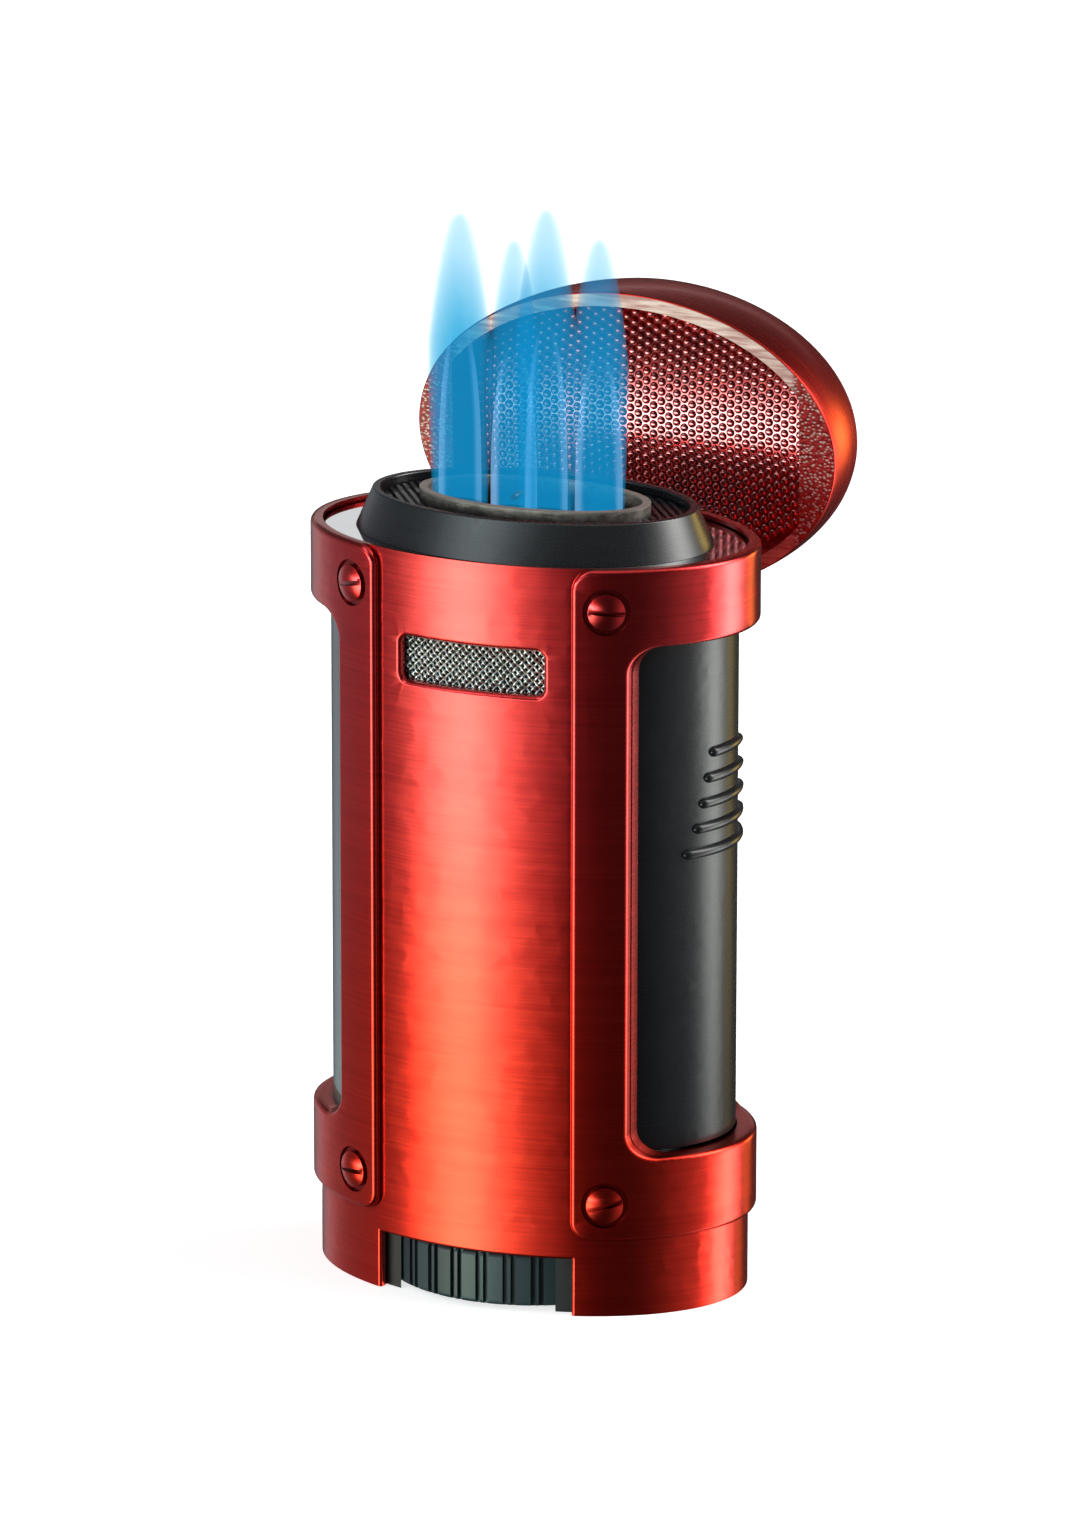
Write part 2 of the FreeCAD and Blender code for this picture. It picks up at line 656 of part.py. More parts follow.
def make_trigger():
    """Right side panel with five ribs and its inner ears and noses."""
    panel = Piece("trigger_panel", export=False)
    oval_tube(panel, PANEL, inset(PANEL, dim.panel_wall), dim.trigger_z0, dim.trigger_z1)
    panel.cut_rect_across(-FAR, dim.flange_x, dim.trigger_z0 - 1, dim.trigger_z1 + 1)

    half, border = dim.rib_width / 2, dim.rib_border
    trimmed = inset(PANEL, dim.trim_inset)
    ribs, grooves = [], []
    for k in range(5):
        z, y = getattr(dim, "rib_z%d" % k), getattr(dim, "rib_y%d" % k)
        ribs.append(rib_band("rib%d" % k, outset(PANEL, dim.rib_height), trimmed, z, half, y))
        grooves.append(rib_band("groove%d" % k, outset(PANEL, 1), inset(PANEL, dim.rib_groove),
                                z, half + border, y + border))
    grooved = cut("trigger_grooved", panel.body, fuse("trigger_grooves", *grooves))

    # pivot ears, the igniter boss and the valve nose, each trimmed inside the outer surface
    x, z = dim.pivot_x, dim.pivot_z
    inner = []
    for k, (y0, y1) in enumerate(both_sides(dim.ear_y0, dim.ear_y1)):
        inner.append(cylinder("ear_eye%d" % k, dim.pivot_eye, dim.ear_y1 - dim.ear_y0,
                              x, y0, z, "Y"))
        inner.append(box("ear_web%d" % k, x, x + 1.6, y0, y1,
                         dim.trigger_z0, z + dim.pivot_eye))
    for name, x, y, z, radius, depth in (
            ("boss", dim.boss_x, dim.boss_y, dim.boss_z, dim.boss_radius, 5),
            ("cam", dim.cam_x, dim.cam_y, dim.cam_z, dim.cam_radius, 3)):
        inner.append(box(name + "_web", x, x + depth, -y, y, z - radius, z + radius))
        inner.append(cylinder(name + "_nose", radius, 2 * y, x, -y, z, "Y"))
    inner = common("trigger_inner", fuse("trigger_ears", *inner),
                   oval("trigger_trim", trimmed, 0, 64))
    bore = cylinder("trigger_bore", dim.pivot_radius + dim.fit, 10,
                    dim.pivot_x, -5, dim.pivot_z, "Y")
    keep(cut("trigger", fuse("trigger_whole", grooved, inner, *ribs), bore))


def make_trigger_pin():
    keep(cylinder("trigger_pin", dim.pivot_radius, 2 * dim.ear_y1 + 0.4,
                  dim.pivot_x, -dim.ear_y1 - 0.2, dim.pivot_z, "Y"))


# ---------------------------------------------------------------- base and flame wheel
def make_base_plate():
    plate = Piece("base_plate")
    plate.pad_oval(inset(CASE, dim.base_inset), 0, dim.base_z)
    plate.drill(dim.bay_radius, depth=dim.bay_z)
    plate.drill(dim.fill_radius + dim.fit)
    for sign in (1, -1):
        x = sign * dim.base_screw_x
        plate.drill(dim.base_shank + dim.fit, x=x)
        plate.drill(dim.base_head + 0.1, depth=1.0, x=x)


def make_base_screws():
    """Two slotted screws up into the tank's floor."""
    solid = fuse("base_screw_solid", cylinder("base_screw_head", dim.base_head, 0.75, z=0.2),
                 cylinder("base_screw_shank", dim.base_shank, 7.8, z=0.9))
    screw = cut("base_screw_one", solid, box("base_screw_slot", -2, 2, -0.2, 0.2, 0, 0.45))
    doc.recompute()
    keep_shape("base_screws", copies(screw.Shape, (dim.base_screw_x, -dim.base_screw_x)))


def make_flame_wheel():
    wheel = Piece("flame_wheel")
    radius, z0 = dim.wheel_radius, dim.wheel_z0
    sketch = wheel.sketch(offset=z0)
    add_circle(sketch, radius)
    wheel.pad(sketch, dim.wheel_z1 - z0)
    wheel.drill(dim.hub_radius, z0)
    # slot for the sleeve's keys
    key_x, key_y = dim.key_x + 0.1, dim.key_y + 0.06
    sketch = wheel.sketch(offset=z0)
    add_rect(sketch, -key_x, key_x, -key_y, key_y)
    wheel.pocket(sketch)
    wheel.round_edges(
        lambda edge: edge.Closed and abs(edge.BoundBox.XMax - radius.value) < 0.05,
        dim.wheel_round)
    # a pair of grooves in the rim, repeated all round
    sketch = wheel.sketch(offset=z0)
    for y0, y1 in both_sides(dim.groove_y0, dim.groove_y1):
        add_rect(sketch, radius - dim.groove_depth, radius + 1, y0, y1)
    wheel.polar(wheel.pocket(sketch), dim.wheel_teeth)


def make_regulator_sleeve():
    """Sleeve with a key on either side."""
    sleeve = Piece("regulator_sleeve")
    height = dim.sleeve_z1 - dim.sleeve_z0
    sketch = sleeve.sketch(offset=dim.sleeve_z0)
    add_circle(sketch, dim.sleeve_radius)
    sleeve.pad(sketch, height)
    sketch = sleeve.sketch(offset=dim.sleeve_z0)
    add_rect(sketch, -dim.key_x, dim.key_x, -dim.key_y, dim.key_y)
    sleeve.pad(sketch, height)
    sleeve.drill(dim.sleeve_bore, dim.sleeve_z0)


def make_fill_valve():
    flange, radius, top, bore = dim.fill_flange, dim.fill_radius, dim.fill_top, dim.fill_bore
    Piece("fill_valve").revolve([
        (bore, 0), (flange - 0.1, 0), (flange, 0.1), (flange, 0.3), (radius, 0.3),
        (radius, top - 1), (1.4, top), (0, top), (0, dim.fill_bore_depth),
        (bore, dim.fill_bore_depth)])


# ---------------------------------------------------------------- fuel tank, seal and cap
def make_fuel_tank():
    """Tank with a flat right side that carries the trigger's knuckle and a screw lug."""
    blank = Piece("fuel_tank_blank", export=False)
    blank.pad_oval(TANK, dim.tank_z0, dim.tank_z1)
    blank.cut_rect_across(dim.tank_x, FAR, 0, 40)
    x, z, eye, z0 = dim.pivot_x, dim.pivot_z, dim.pivot_eye, dim.tank_z0
    y, root_x = dim.ear_y0 - 0.1, dim.tank_x - 1
    knuckle = fuse(
        "tank_knuckle", cylinder("tank_eye", eye, 2 * y, x, -y, z, "Y"),
        box("tank_web", root_x, x, -y, y, z - eye, z + eye),
        box("tank_lug", root_x, dim.base_screw_x + 1.6, -2.0, 2.0, z0, z0 + 2.6))
    cavity = cut("tank_cavity", oval("tank_bore", TANK_BORE, z0 + 2.9, dim.tank_z1 + 3),
                 slab("tank_flat", dim.tank_x - dim.tank_wall, FAR))
    hollow = cut("tank_hollow", fuse("tank_outer", blank.body, knuckle), cavity)
    hole = dim.base_shank + dim.fit
    drills = fuse(
        "tank_drills", cylinder("tank_pivot_hole", dim.pivot_radius + 0.04, 12, x, -6, z, "Y"),
        cylinder("tank_fill_hole", dim.fill_radius + dim.fit, 6, 0, 0, z0 - 1),
        cylinder("tank_screw_hole0", hole, 2.3, dim.base_screw_x, 0, z0 - 0.2),
        cylinder("tank_screw_hole1", hole, 2.3, -dim.base_screw_x, 0, z0 - 0.2))
    keep(cut("fuel_tank", hollow, drills))


def make_tank_seal():
    """Flat gasket that follows the tank's edge."""
    outer_gap, inner_gap = 0.15, 0.95
    z0, z1 = dim.tank_z1, dim.tank_z1 + dim.seal_height
    ring = cut("seal_ring", oval("seal_outer", inset(TANK, outer_gap), z0, z1),
               oval("seal_inner", inset(TANK, inner_gap), z0 - 1, z0 + 2))
    strip = cut("seal_strip", oval("seal_strip_oval", inset(TANK, outer_gap), z0, z1),
                slab("seal_strip_cut", -FAR, dim.tank_x - inner_gap))
    keep(common("tank_seal", fuse("seal_whole", ring, strip),
                slab("seal_limit", -FAR, dim.tank_x - outer_gap)))


def make_tank_cap():
    z1, x, z = dim.cap_z1, dim.lever_x, dim.lever_z
    seal_z = dim.tank_z1 + dim.seal_height
    lid = common("cap_top", oval("cap_top_oval", TANK, seal_z, z1),
                 slab("cap_top_limit", -FAR, dim.tank_x))
    plug = common("cap_plug",
                  oval("cap_plug_oval", inset(TANK_BORE, 0.05), dim.tank_z1 - 1.5, seal_z),
                  slab("cap_plug_limit", -FAR, dim.tank_x - dim.tank_wall - 0.05))
    # two ears that carry the valve lever's pin, on arms past the tank's flat side
    spans = both_sides(1.75, 2.75)
    ears = [box("cap_arm%d" % k, dim.tank_x - 2, x + 1.1, y0, y1, z1 - 1.5, z1)
            for k, (y0, y1) in enumerate(spans)]
    ears += [box("cap_ear%d" % k, x - 1.1, x + 1.1, y0, y1, z1 - 1.5, z + 1.0)
             for k, (y0, y1) in enumerate(spans)]
    drills = fuse(
        "cap_drills", cylinder("cap_valve_hole", dim.valve_radius + dim.fit, 10, 0, 0, 28),
        cylinder("cap_pin_hole", dim.lever_pin + dim.fit, 8, x, -4, z, "Y"))
    keep(cut("tank_cap", fuse("cap_whole", lid, plug, *ears), drills))


# ---------------------------------------------------------------- gas valve, stem and lever
def make_gas_valve():
    blank = Piece("gas_valve_blank", export=False)
    bore, floor_z = dim.stem_radius + 0.05, dim.stem_z0 - 1.1
    radius, flange, seat_z = dim.valve_radius, dim.valve_flange, dim.cap_z1 + dim.fit
    blank.revolve([
        (bore, floor_z), (bore, dim.valve_z1), (flange, dim.valve_z1), (flange, seat_z),
        (radius, seat_z), (radius, dim.valve_z0 + 0.6), (radius - 0.6, dim.valve_z0),
        (0, dim.valve_z0), (0, floor_z)])
    nipple = cylinder("valve_nipple", 0.4, 2.4, 0, flange - 0.6, NIPPLE_Z, "Y")
    keep(fuse("gas_valve", blank.body, nipple))


def make_valve_stem():
    radius, collar = dim.stem_radius, dim.stem_collar
    Piece("valve_stem").revolve([
        (0, dim.stem_z0), (radius, dim.stem_z0), (radius, dim.stem_collar_z0),
        (collar, dim.stem_collar_z0), (collar, dim.stem_collar_z1),
        (radius, dim.stem_collar_z1), (radius, dim.stem_z1), (0, dim.stem_z1)])


def make_valve_lever():
    """Bell crank from the trigger's lower nose to a fork around the stem."""
    x, z = dim.lever_x, dim.lever_z
    z0, z1 = z - 0.35, z + 0.65
    whole = fuse(
        "lever_whole", cylinder("lever_hub", dim.lever_eye, 3.2, x, -1.6, z, "Y"),
        box("lever_down", x - 0.5, x + 0.5, -1.6, 1.6, dim.cam_z - 0.8, z),
        box("lever_arm", 1.9, x, -1.2, 1.2, z0, z1),
        box("lever_fork", -1.4, 2.4, -2.2, 2.2, z0, z1))
    drills = fuse(
        "lever_drills", cylinder("lever_hole", dim.lever_pin + 0.05, 8, x, -4, z, "Y"),
        box("lever_gap", -3, 1.3, -1.15, 1.15, z - 2, z + 2))
    keep(cut("valve_lever", whole, drills))


def make_lever_pin():
    keep(cylinder("lever_pin", dim.lever_pin, 5.9, dim.lever_x, -2.95, dim.lever_z, "Y"))


# ---------------------------------------------------------------- inner frame, piezo igniter
def make_inner_frame():
    """Cradle around the piezo body, on a leg that stands on the tank cap."""
    y = dim.piezo_y + dim.fit
    whole = fuse(
        "frame_whole", box("frame_leg", -13.4, -9.0, -4.4, 4.4, dim.cap_z1 + dim.fit, 39.5),
        box("frame_cradle", -13.4, 3.4, -4.4, 4.4, 39.0, dim.piezo_z1 + dim.fit))
    cuts = fuse(
        "frame_cuts", box("frame_channel", -14, 5, -y, y, dim.piezo_z0 - dim.fit, 50),
        box("frame_floor_gap", -2.8, 5, -y, y, 38, 50),
        box("frame_leg_window", -15, -8, -2.2, 2.2, dim.cap_z1 + 1, 38.0))
    keep(cut("inner_frame", whole, cuts))


def make_piezo_body():
    piezo = Piece("piezo_body")
    sketch = piezo.sketch("YZ_Plane", dim.piezo_x0)
    add_rect(sketch, -dim.piezo_y, dim.piezo_y, dim.piezo_z0, dim.piezo_z1, 0.5)
    piezo.pad(sketch, dim.piezo_x1 - dim.piezo_x0)
    # socket for the plunger, in the right end
    y, z = dim.plunger_y + dim.plunger_gap, dim.plunger_z + dim.plunger_gap
    sketch = piezo.sketch("YZ_Plane", dim.piezo_x1)
    add_rect(sketch, -y, y, dim.boss_z - z, dim.boss_z + z)
    piezo.pocket(sketch, 6.1, along_normal=False)


def make_piezo_plunger():
    plunger = Piece("piezo_plunger")
    y, z = dim.plunger_y, dim.plunger_z
    sketch = plunger.sketch("YZ_Plane", dim.plunger_x0)
    add_rect(sketch, -y, y, dim.boss_z - z, dim.boss_z + z, 0.35)
    plunger.pad(sketch, dim.plunger_x1 - dim.plunger_x0)


# ---------------------------------------------------------------- burner
def make_burner_block():
    """Block with chamfered uprights, four jet holes, a gallery and the gas inlet."""
    z1 = dim.block_z1
    blank = box("block_blank", -dim.block_x, dim.block_x, -dim.block_y, dim.block_y,
                dim.block_z0, z1)
    block = doc.addObject("Part::Chamfer", "block_chamfered")
    block.Base = blank
    doc.recompute()
    block.Edges = [(k, 1.5, 1.5) for k, edge in enumerate(blank.Shape.Edges, 1)
                   if abs(edge.Vertexes[0].Z - edge.Vertexes[-1].Z) > 1]
    drills = [cylinder("block_jet%d" % k, 1.02, 3, x, 0, z1 - 2)
              for k, x in enumerate(JET_PLACES)]
    drills.append(cylinder("block_gallery", 0.8, 14.5, -6.8, 0, z1 - 2.6, "X"))
    drills.append(cylinder("block_inlet", 0.65, 6.0, 0, 0, dim.feed_z, "Y"))
    keep(cut("burner_block", block, fuse("block_drills", *drills)))


def make_jet_nozzles():
    """Four stepped-bore nozzles in one node."""
    master = Piece("jet_master", export=False)
    radius, z0, z1 = dim.jet_radius, dim.block_z1, dim.jet_z1
    spigot, mouth, orifice = 1.0, 0.85, 0.3
    master.revolve([
        (orifice, z0 - 1.8), (spigot, z0 - 1.8), (spigot, z0), (radius, z0), (radius, z1 - 0.5),
        (radius - 0.3, z1), (mouth, z1), (mouth, z1 - 3), (orifice, z1 - 3.5)])
    keep_shape("jet_nozzles", copies(master.body.Shape, JET_PLACES))


def make_gas_tube():
    """Bent pipe in the plane X = 0, from the valve's nipple to the back of the burner block."""
    tube = Piece("gas_tube")
    z0, z1 = NIPPLE_Z, dim.feed_z
    start_y, back_y, bend = dim.valve_flange + 0.35, dim.tube_back_y, dim.tube_bend
    spine = tube.sketch("YZ_Plane")
    add_outline(spine, [
        (start_y, z0), (back_y - bend, z0, bend), (back_y, z0 + bend), (back_y, z1 - bend, bend),
        (back_y - bend, z1), (3.9, z1)], closed=False)
    edges = ["Edge%d" % k for k in range(1, 6)]
    for kind, tag, radius in (("AdditivePipe", "pipe", dim.tube_radius),
                              ("SubtractivePipe", "bore", dim.tube_bore)):
        profile = tube.sketch("XZ_Plane", -start_y)
        add_circle(profile, radius, 0, z0)
        pipe = tube.body.newObject("PartDesign::" + kind, "gas_tube_" + tag)
        pipe.Profile = profile
        pipe.Spine = (spine, edges)
        doc.recompute()


def make_burner_shroud():
    """Oval tube with a flange under the deck."""
    z0, z1 = dim.shroud_z0, dim.shroud_z1
    whole = fuse("shroud_whole", oval("shroud_tube", SHROUD, z0, z1),
                 oval("shroud_flange", outset(SHROUD, 0.95),
                      dim.deck_z0 - 1.0, dim.deck_z0 - 0.03))
    keep(cut("burner_shroud", whole, oval("shroud_bore", SHROUD_BORE, z0 - 1, z1 + 1)))


def make_nozzle_plate():
    plate = oval("nozzle_plate_blank", inset(SHROUD_BORE, 0.03), 64.6, 65.6)
    drills = [cylinder("nozzle_hole%d" % k, dim.jet_radius + 0.05, 4, x, 0, 63)
              for k, x in enumerate(JET_PLACES)]
    drills.append(cylinder("electrode_hole", 0.62, 4, dim.spark_x, dim.spark_y, 63))
    keep(cut("nozzle_plate", plate, fuse("nozzle_drills", *drills)))


# ---------------------------------------------------------------- spark electrode and its lead
# y and z of the electrode's centre line, which lies in the plane X = spark_x
ELECTRODE_PATH = [(3.0, 59.0), (3.0, 62.0), (3.0, 65.0), (2.85, 66.6), (2.1, 67.5),
                  (0.6, 67.85), (-0.3, 67.8)]
# x, y, z of the lead's centre line, from the piezo body's left end to the electrode
LEAD_PATH = [
    (-13.06, 0, 42.8), (-13.5, 0, 42.8), (-14.3, 0, 43.7), (-14.6, 0.4, 46.5), (-14.3, 1.6, 51.5),
    (-12.2, 3.6, 55.2), (-8.0, 4.9, 56.8), (-4.0, 4.2, 57.4), (-1.9, 3.3, 58.0),
    (-1.85, 3.0, 58.9)]


def make_ignition():
    x, y = dim.spark_x.value, dim.spark_y.value
    keep_shape("spark_electrode", swept_rod([(x,) + point for point in ELECTRODE_PATH], 0.3))
    insulator = Part.makeCylinder(0.58, 5.4, V(x, y, 60.4))
    keep_shape("electrode_insulator", insulator.cut(Part.makeCylinder(0.36, 9, V(x, y, 58))))
    keep_shape("ignition_lead", swept_rod(LEAD_PATH, 0.5))


# ---------------------------------------------------------------- deck and collar
def make_deck_plate():
    """Plate with the shroud's opening and a notch at the back for the hinge arm."""
    deck = Piece("deck_plate")
    below = dim.deck_z0 - 1
    deck.pad_oval(inset(CASE, dim.deck_inset), dim.deck_z0, dim.deck_z1)
    deck.cut_oval(outset(SHROUD, 0.06), below, below + 5)
    sketch = deck.sketch(offset=below)
    add_rect(sketch, -dim.slot_x, dim.slot_x, dim.notch_y, 16)
    deck.pocket(sketch, 5)


def make_collar():
    collar = Piece("collar")
    bottom = collar.sketch(offset=dim.collar_z0)
    add_oval(bottom, (dim.collar_rx0, dim.collar_ry0))
    top = collar.sketch(offset=dim.collar_z1)
    add_oval(top, (dim.collar_rx1, dim.collar_ry1))
    loft = collar.body.newObject("PartDesign::AdditiveLoft", "collar_loft")
    loft.Profile = bottom
    loft.Sections = [top]
    loft.Ruled = True
    doc.recompute()
    collar.cut_oval(COLLAR_BORE, dim.collar_z0, dim.collar_z0 + 6)
    collar.round_edges(
        lambda edge: edge.Closed and edge.CenterOfMass.z > dim.collar_z1.value - 0.05,
        dim.soft_collar)


def make_collar_insert():
    """Oval ring between shroud and collar, with slanting ridges on top."""
    ring = cut("insert_ring",
               oval("insert_outer", inset(COLLAR_BORE, 0.03), dim.insert_z0, dim.insert_z1),
               oval("insert_inner", outset(SHROUD, 0.05), 60, 70))
    field = cut("ridge_field",
                oval("ridge_outer", inset(COLLAR_BORE, 0.25), dim.insert_z1 - 0.2, dim.ridge_z),
                oval("ridge_inner", outset(SHROUD, 0.25), 60, 70))
    pitch, z = dim.ridge_pitch.value, dim.insert_z1.value - 0.25
    slant = FreeCAD.Placement(V(0, 0, 0), FreeCAD.Rotation(V(0, 0, 1), -53))
    reach = int(math.hypot(COLLAR_BORE[0].value, COLLAR_BORE[1].value) / pitch) + 1
    bars = []
    for k in range(-reach, reach + 1):
        bar = Part.makeBox(40, pitch * 0.5, 1.2, V(-20, (k - 0.25) * pitch, z))
        bar.Placement = slant.multiply(bar.Placement)
        bars.append(bar)
    bar_set = doc.addObject("Part::Feature", "insert_bars")
    bar_set.Shape = Part.makeCompound(bars)
    keep(fuse("collar_insert", ring, common("insert_ridges", field, bar_set)))


# ---------------------------------------------------------------- lid hinge
def make_hinge_bracket():
    """Two ears joined by a bar, hung under the deck."""
    z, z1 = dim.hinge_z, dim.deck_z0 - 0.04
    spans = both_sides(dim.bracket_x0, dim.bracket_x1)
    parts = [box("bracket_ear%d" % k, x0, x1, 8.6, 11.15, z - 2.0, z1)
             for k, (x0, x1) in enumerate(spans)]
    parts.append(box("bracket_bar", -dim.bracket_x1, dim.bracket_x1, 7.2, 8.3, z + 1.0, z1))
    parts += [box("bracket_side%d" % k, x0, x1, 7.2, 9.0, z + 1.0, z1)
              for k, (x0, x1) in enumerate(spans)]
    hole = cylinder("bracket_hole", dim.hinge_radius + dim.fit, 20, -10, dim.hinge_y, z, "X")
    keep(cut("hinge_bracket", fuse("bracket_whole", *parts), hole))


def make_hinge_pin():
    keep(cylinder("hinge_pin", dim.hinge_radius, 2 * dim.pin_x,
                  -dim.pin_x, dim.hinge_y, dim.hinge_z, "X"))


def make_lid_spring():
    """Coil around the hinge pin."""
    pitch, length, coil_radius, wire_radius = 0.56, 4.1, 1.3, 0.22
    profile = Part.Wire(Part.makeCircle(wire_radius, V(coil_radius, 0, 0), V(0, 1, 0)))
    helix = Part.Wire(Part.makeHelix(pitch, length, coil_radius))
    coil = helix.makePipeShell([profile], True, True)
    coil.Placement = FreeCAD.Placement(
        V(-length / 2, dim.hinge_y.value, dim.hinge_z.value), AXIS_TURNS["X"])
    keep_shape("lid_spring", coil)


# ------------------------------------------- lid, drawn shut and turned open about the hinge pin
def make_lid_shell():
    z0 = dim.lid_z0
    loft = doc.addObject("Part::Loft", "lid_loft")
    loft.Sections = [
        ellipse("lid_section0", (dim.lid_rx0, dim.lid_ry0), z0),
        ellipse("lid_section1", (dim.lid_rx1, dim.lid_ry1), z0 + dim.lid_mid),
        ellipse("lid_section2", (dim.lid_rx2, dim.lid_ry2), z0 + dim.lid_height)]
    loft.Solid = True
    loft.Ruled = False
    doc.recompute()
    rims = [(k, edge.CenterOfMass.z) for k, edge in enumerate(loft.Shape.Edges, 1)
            if len(edge.Vertexes) == 1]
    top_z = z0.value + dim.lid_height.value
    rounded = doc.addObject("Part::Fillet", "lid_round")
    rounded.Base = loft
    rounded.Edges = ([(k, 1.5, 1.5) for k, z in rims if z > top_z - 0.1]
                     + [(k, 0.15, 0.15) for k, z in rims if z < z0.value + 0.1])
    cavity = common("lid_cavity", oval("lid_bore", LID_BORE, z0 - 1, z0 + dim.lid_deep),
                    slab("lid_lands", -dim.lid_land, dim.lid_land))
    recess = box("lid_arm_recess", -dim.arm_x - 0.05, dim.arm_x + 0.05,
                 9, dim.arm_y1 + 0.02, z0 - 1, dim.arm_z1 + 0.05)
    holes = [cylinder("lid_hole%d" % k, 0.52, 1.45, x, 11.35, dim.lid_screw_z, "Y")
             for k, x in enumerate(LID_SCREW_PLACES)]
    keep(cut("lid_shell", rounded, fuse("lid_tools", cavity, recess, *holes)), LID_OPEN)


def make_lid_liner():
    ceiling, x = dim.lid_z0 + dim.lid_deep, dim.lid_land - 0.03
    sheet_oval = oval("liner_oval", inset(LID_BORE, 0.03),
                      ceiling - dim.liner_height, ceiling - 0.02)
    keep(common("lid_liner", sheet_oval, slab("liner_limit", -x, x)), LID_OPEN)


def make_lid_arm():
    """Plate on the lid's back wall with two knuckles on the hinge pin."""
    y, z, x0, x1 = dim.hinge_y, dim.hinge_z, dim.knuckle_x0, dim.knuckle_x1
    parts = [box("arm_plate", -dim.arm_x, dim.arm_x, dim.arm_y0, dim.arm_y1, z, dim.arm_z1)]
    parts += [cylinder("arm_knuckle%d" % k, dim.knuckle_radius, x1 - x0, left, y, z, "X")
              for k, (left, right) in enumerate(both_sides(x0, x1))]
    cuts = [cylinder("arm_bore", dim.hinge_radius + dim.hinge_fit, 12, -6, y, z, "X"),
            box("arm_window", -x0, x0, 8, 14, z - 3, z + 2.4)]
    cuts += [cylinder("arm_hole%d" % k, 0.55, 3, x, 10, dim.lid_screw_z, "Y")
             for k, x in enumerate(LID_SCREW_PLACES)]
    cuts += [box("arm_trim%d" % k, left, right, 10, 14, z - 1, z + 1.6)
             for k, (left, right) in enumerate(both_sides(x1, 6))]
    keep(cut("lid_arm", fuse("arm_whole", *parts), fuse("arm_cuts", *cuts)), LID_OPEN)


def make_lid_screws():
    """Two screws that hold the arm to the lid."""
    y, z = dim.arm_y0, dim.lid_screw_z
    screw = fuse("lid_screw_one", cylinder("lid_screw_head", 0.95, 0.4, 0, y - 0.42, z, "Y"),
                 cylinder("lid_screw_shank", 0.5, 1.3, 0, y - 0.05, z, "Y"))
    doc.recompute()
    keep_shape("lid_screws", copies(screw.Shape, LID_SCREW_PLACES), LID_OPEN)


# ---------------------------------------------------------------- build and export
make_case_shell()
make_side_frame(1, "side_frame_right")
make_side_frame(-1, "side_frame_left")
make_frame_screws()
make_vent_mesh()
make_fuel_window()
make_trigger()
make_trigger_pin()
make_base_plate()
make_base_screws()
make_flame_wheel()
make_regulator_sleeve()
make_fill_valve()
make_fuel_tank()
make_tank_seal()
make_tank_cap()
make_gas_valve()
make_valve_stem()
make_valve_lever()
make_lever_pin()
make_inner_frame()
make_piezo_body()
make_piezo_plunger()
make_burner_block()
make_jet_nozzles()
make_gas_tube()
make_burner_shroud()
make_nozzle_plate()
make_ignition()
make_deck_plate()
make_collar()
make_collar_insert()
make_hinge_bracket()
make_hinge_pin()
make_lid_spring()
make_lid_shell()
make_lid_liner()
make_lid_arm()
make_lid_screws()

doc.recompute()
for obj in doc.Objects:
    if "Invalid" in obj.State or "Error" in obj.State:
        raise RuntimeError("%s is %s" % (obj.Name, obj.State))
os.makedirs("parts", exist_ok=True)
for obj in PARTS:
    shape = obj.Shape
    if shape.isNull() or not shape.isValid() or not shape.Solids:
        raise RuntimeError("%s has no good shape" % obj.Label)
    shape.exportStep("parts/%s.step" % obj.Label)
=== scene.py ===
import json
import math

import bmesh
import bpy
from mathutils import Matrix, Vector

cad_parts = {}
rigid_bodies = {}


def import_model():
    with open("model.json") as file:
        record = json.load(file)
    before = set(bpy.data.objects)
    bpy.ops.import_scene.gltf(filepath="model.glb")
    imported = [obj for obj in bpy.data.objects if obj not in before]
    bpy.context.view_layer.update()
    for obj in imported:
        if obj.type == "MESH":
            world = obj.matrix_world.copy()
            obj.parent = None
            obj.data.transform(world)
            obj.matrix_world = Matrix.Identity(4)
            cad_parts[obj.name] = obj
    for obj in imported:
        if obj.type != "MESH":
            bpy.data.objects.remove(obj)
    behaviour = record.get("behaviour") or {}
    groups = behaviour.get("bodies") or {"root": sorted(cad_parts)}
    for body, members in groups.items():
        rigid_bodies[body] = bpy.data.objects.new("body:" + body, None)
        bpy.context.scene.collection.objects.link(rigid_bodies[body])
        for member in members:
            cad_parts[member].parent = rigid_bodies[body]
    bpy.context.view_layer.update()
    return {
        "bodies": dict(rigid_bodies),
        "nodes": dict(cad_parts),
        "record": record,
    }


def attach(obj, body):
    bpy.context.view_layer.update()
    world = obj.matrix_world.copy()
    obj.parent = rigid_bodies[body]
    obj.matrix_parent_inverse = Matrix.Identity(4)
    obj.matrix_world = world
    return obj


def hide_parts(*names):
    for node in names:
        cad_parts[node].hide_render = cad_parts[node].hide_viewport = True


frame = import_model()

NODES = frame["nodes"]
MM = 0.001
scene = bpy.context.scene
scene.view_settings.view_transform = "Standard"
scene.view_settings.look = "None"
scene.view_settings.exposure = 0.0
scene.view_settings.gamma = 1.0
scene.cycles.max_bounces = 14
scene.cycles.transparent_max_bounces = 24
scene.cycles.glossy_bounces = 6
scene.cycles.transmission_bounces = 10


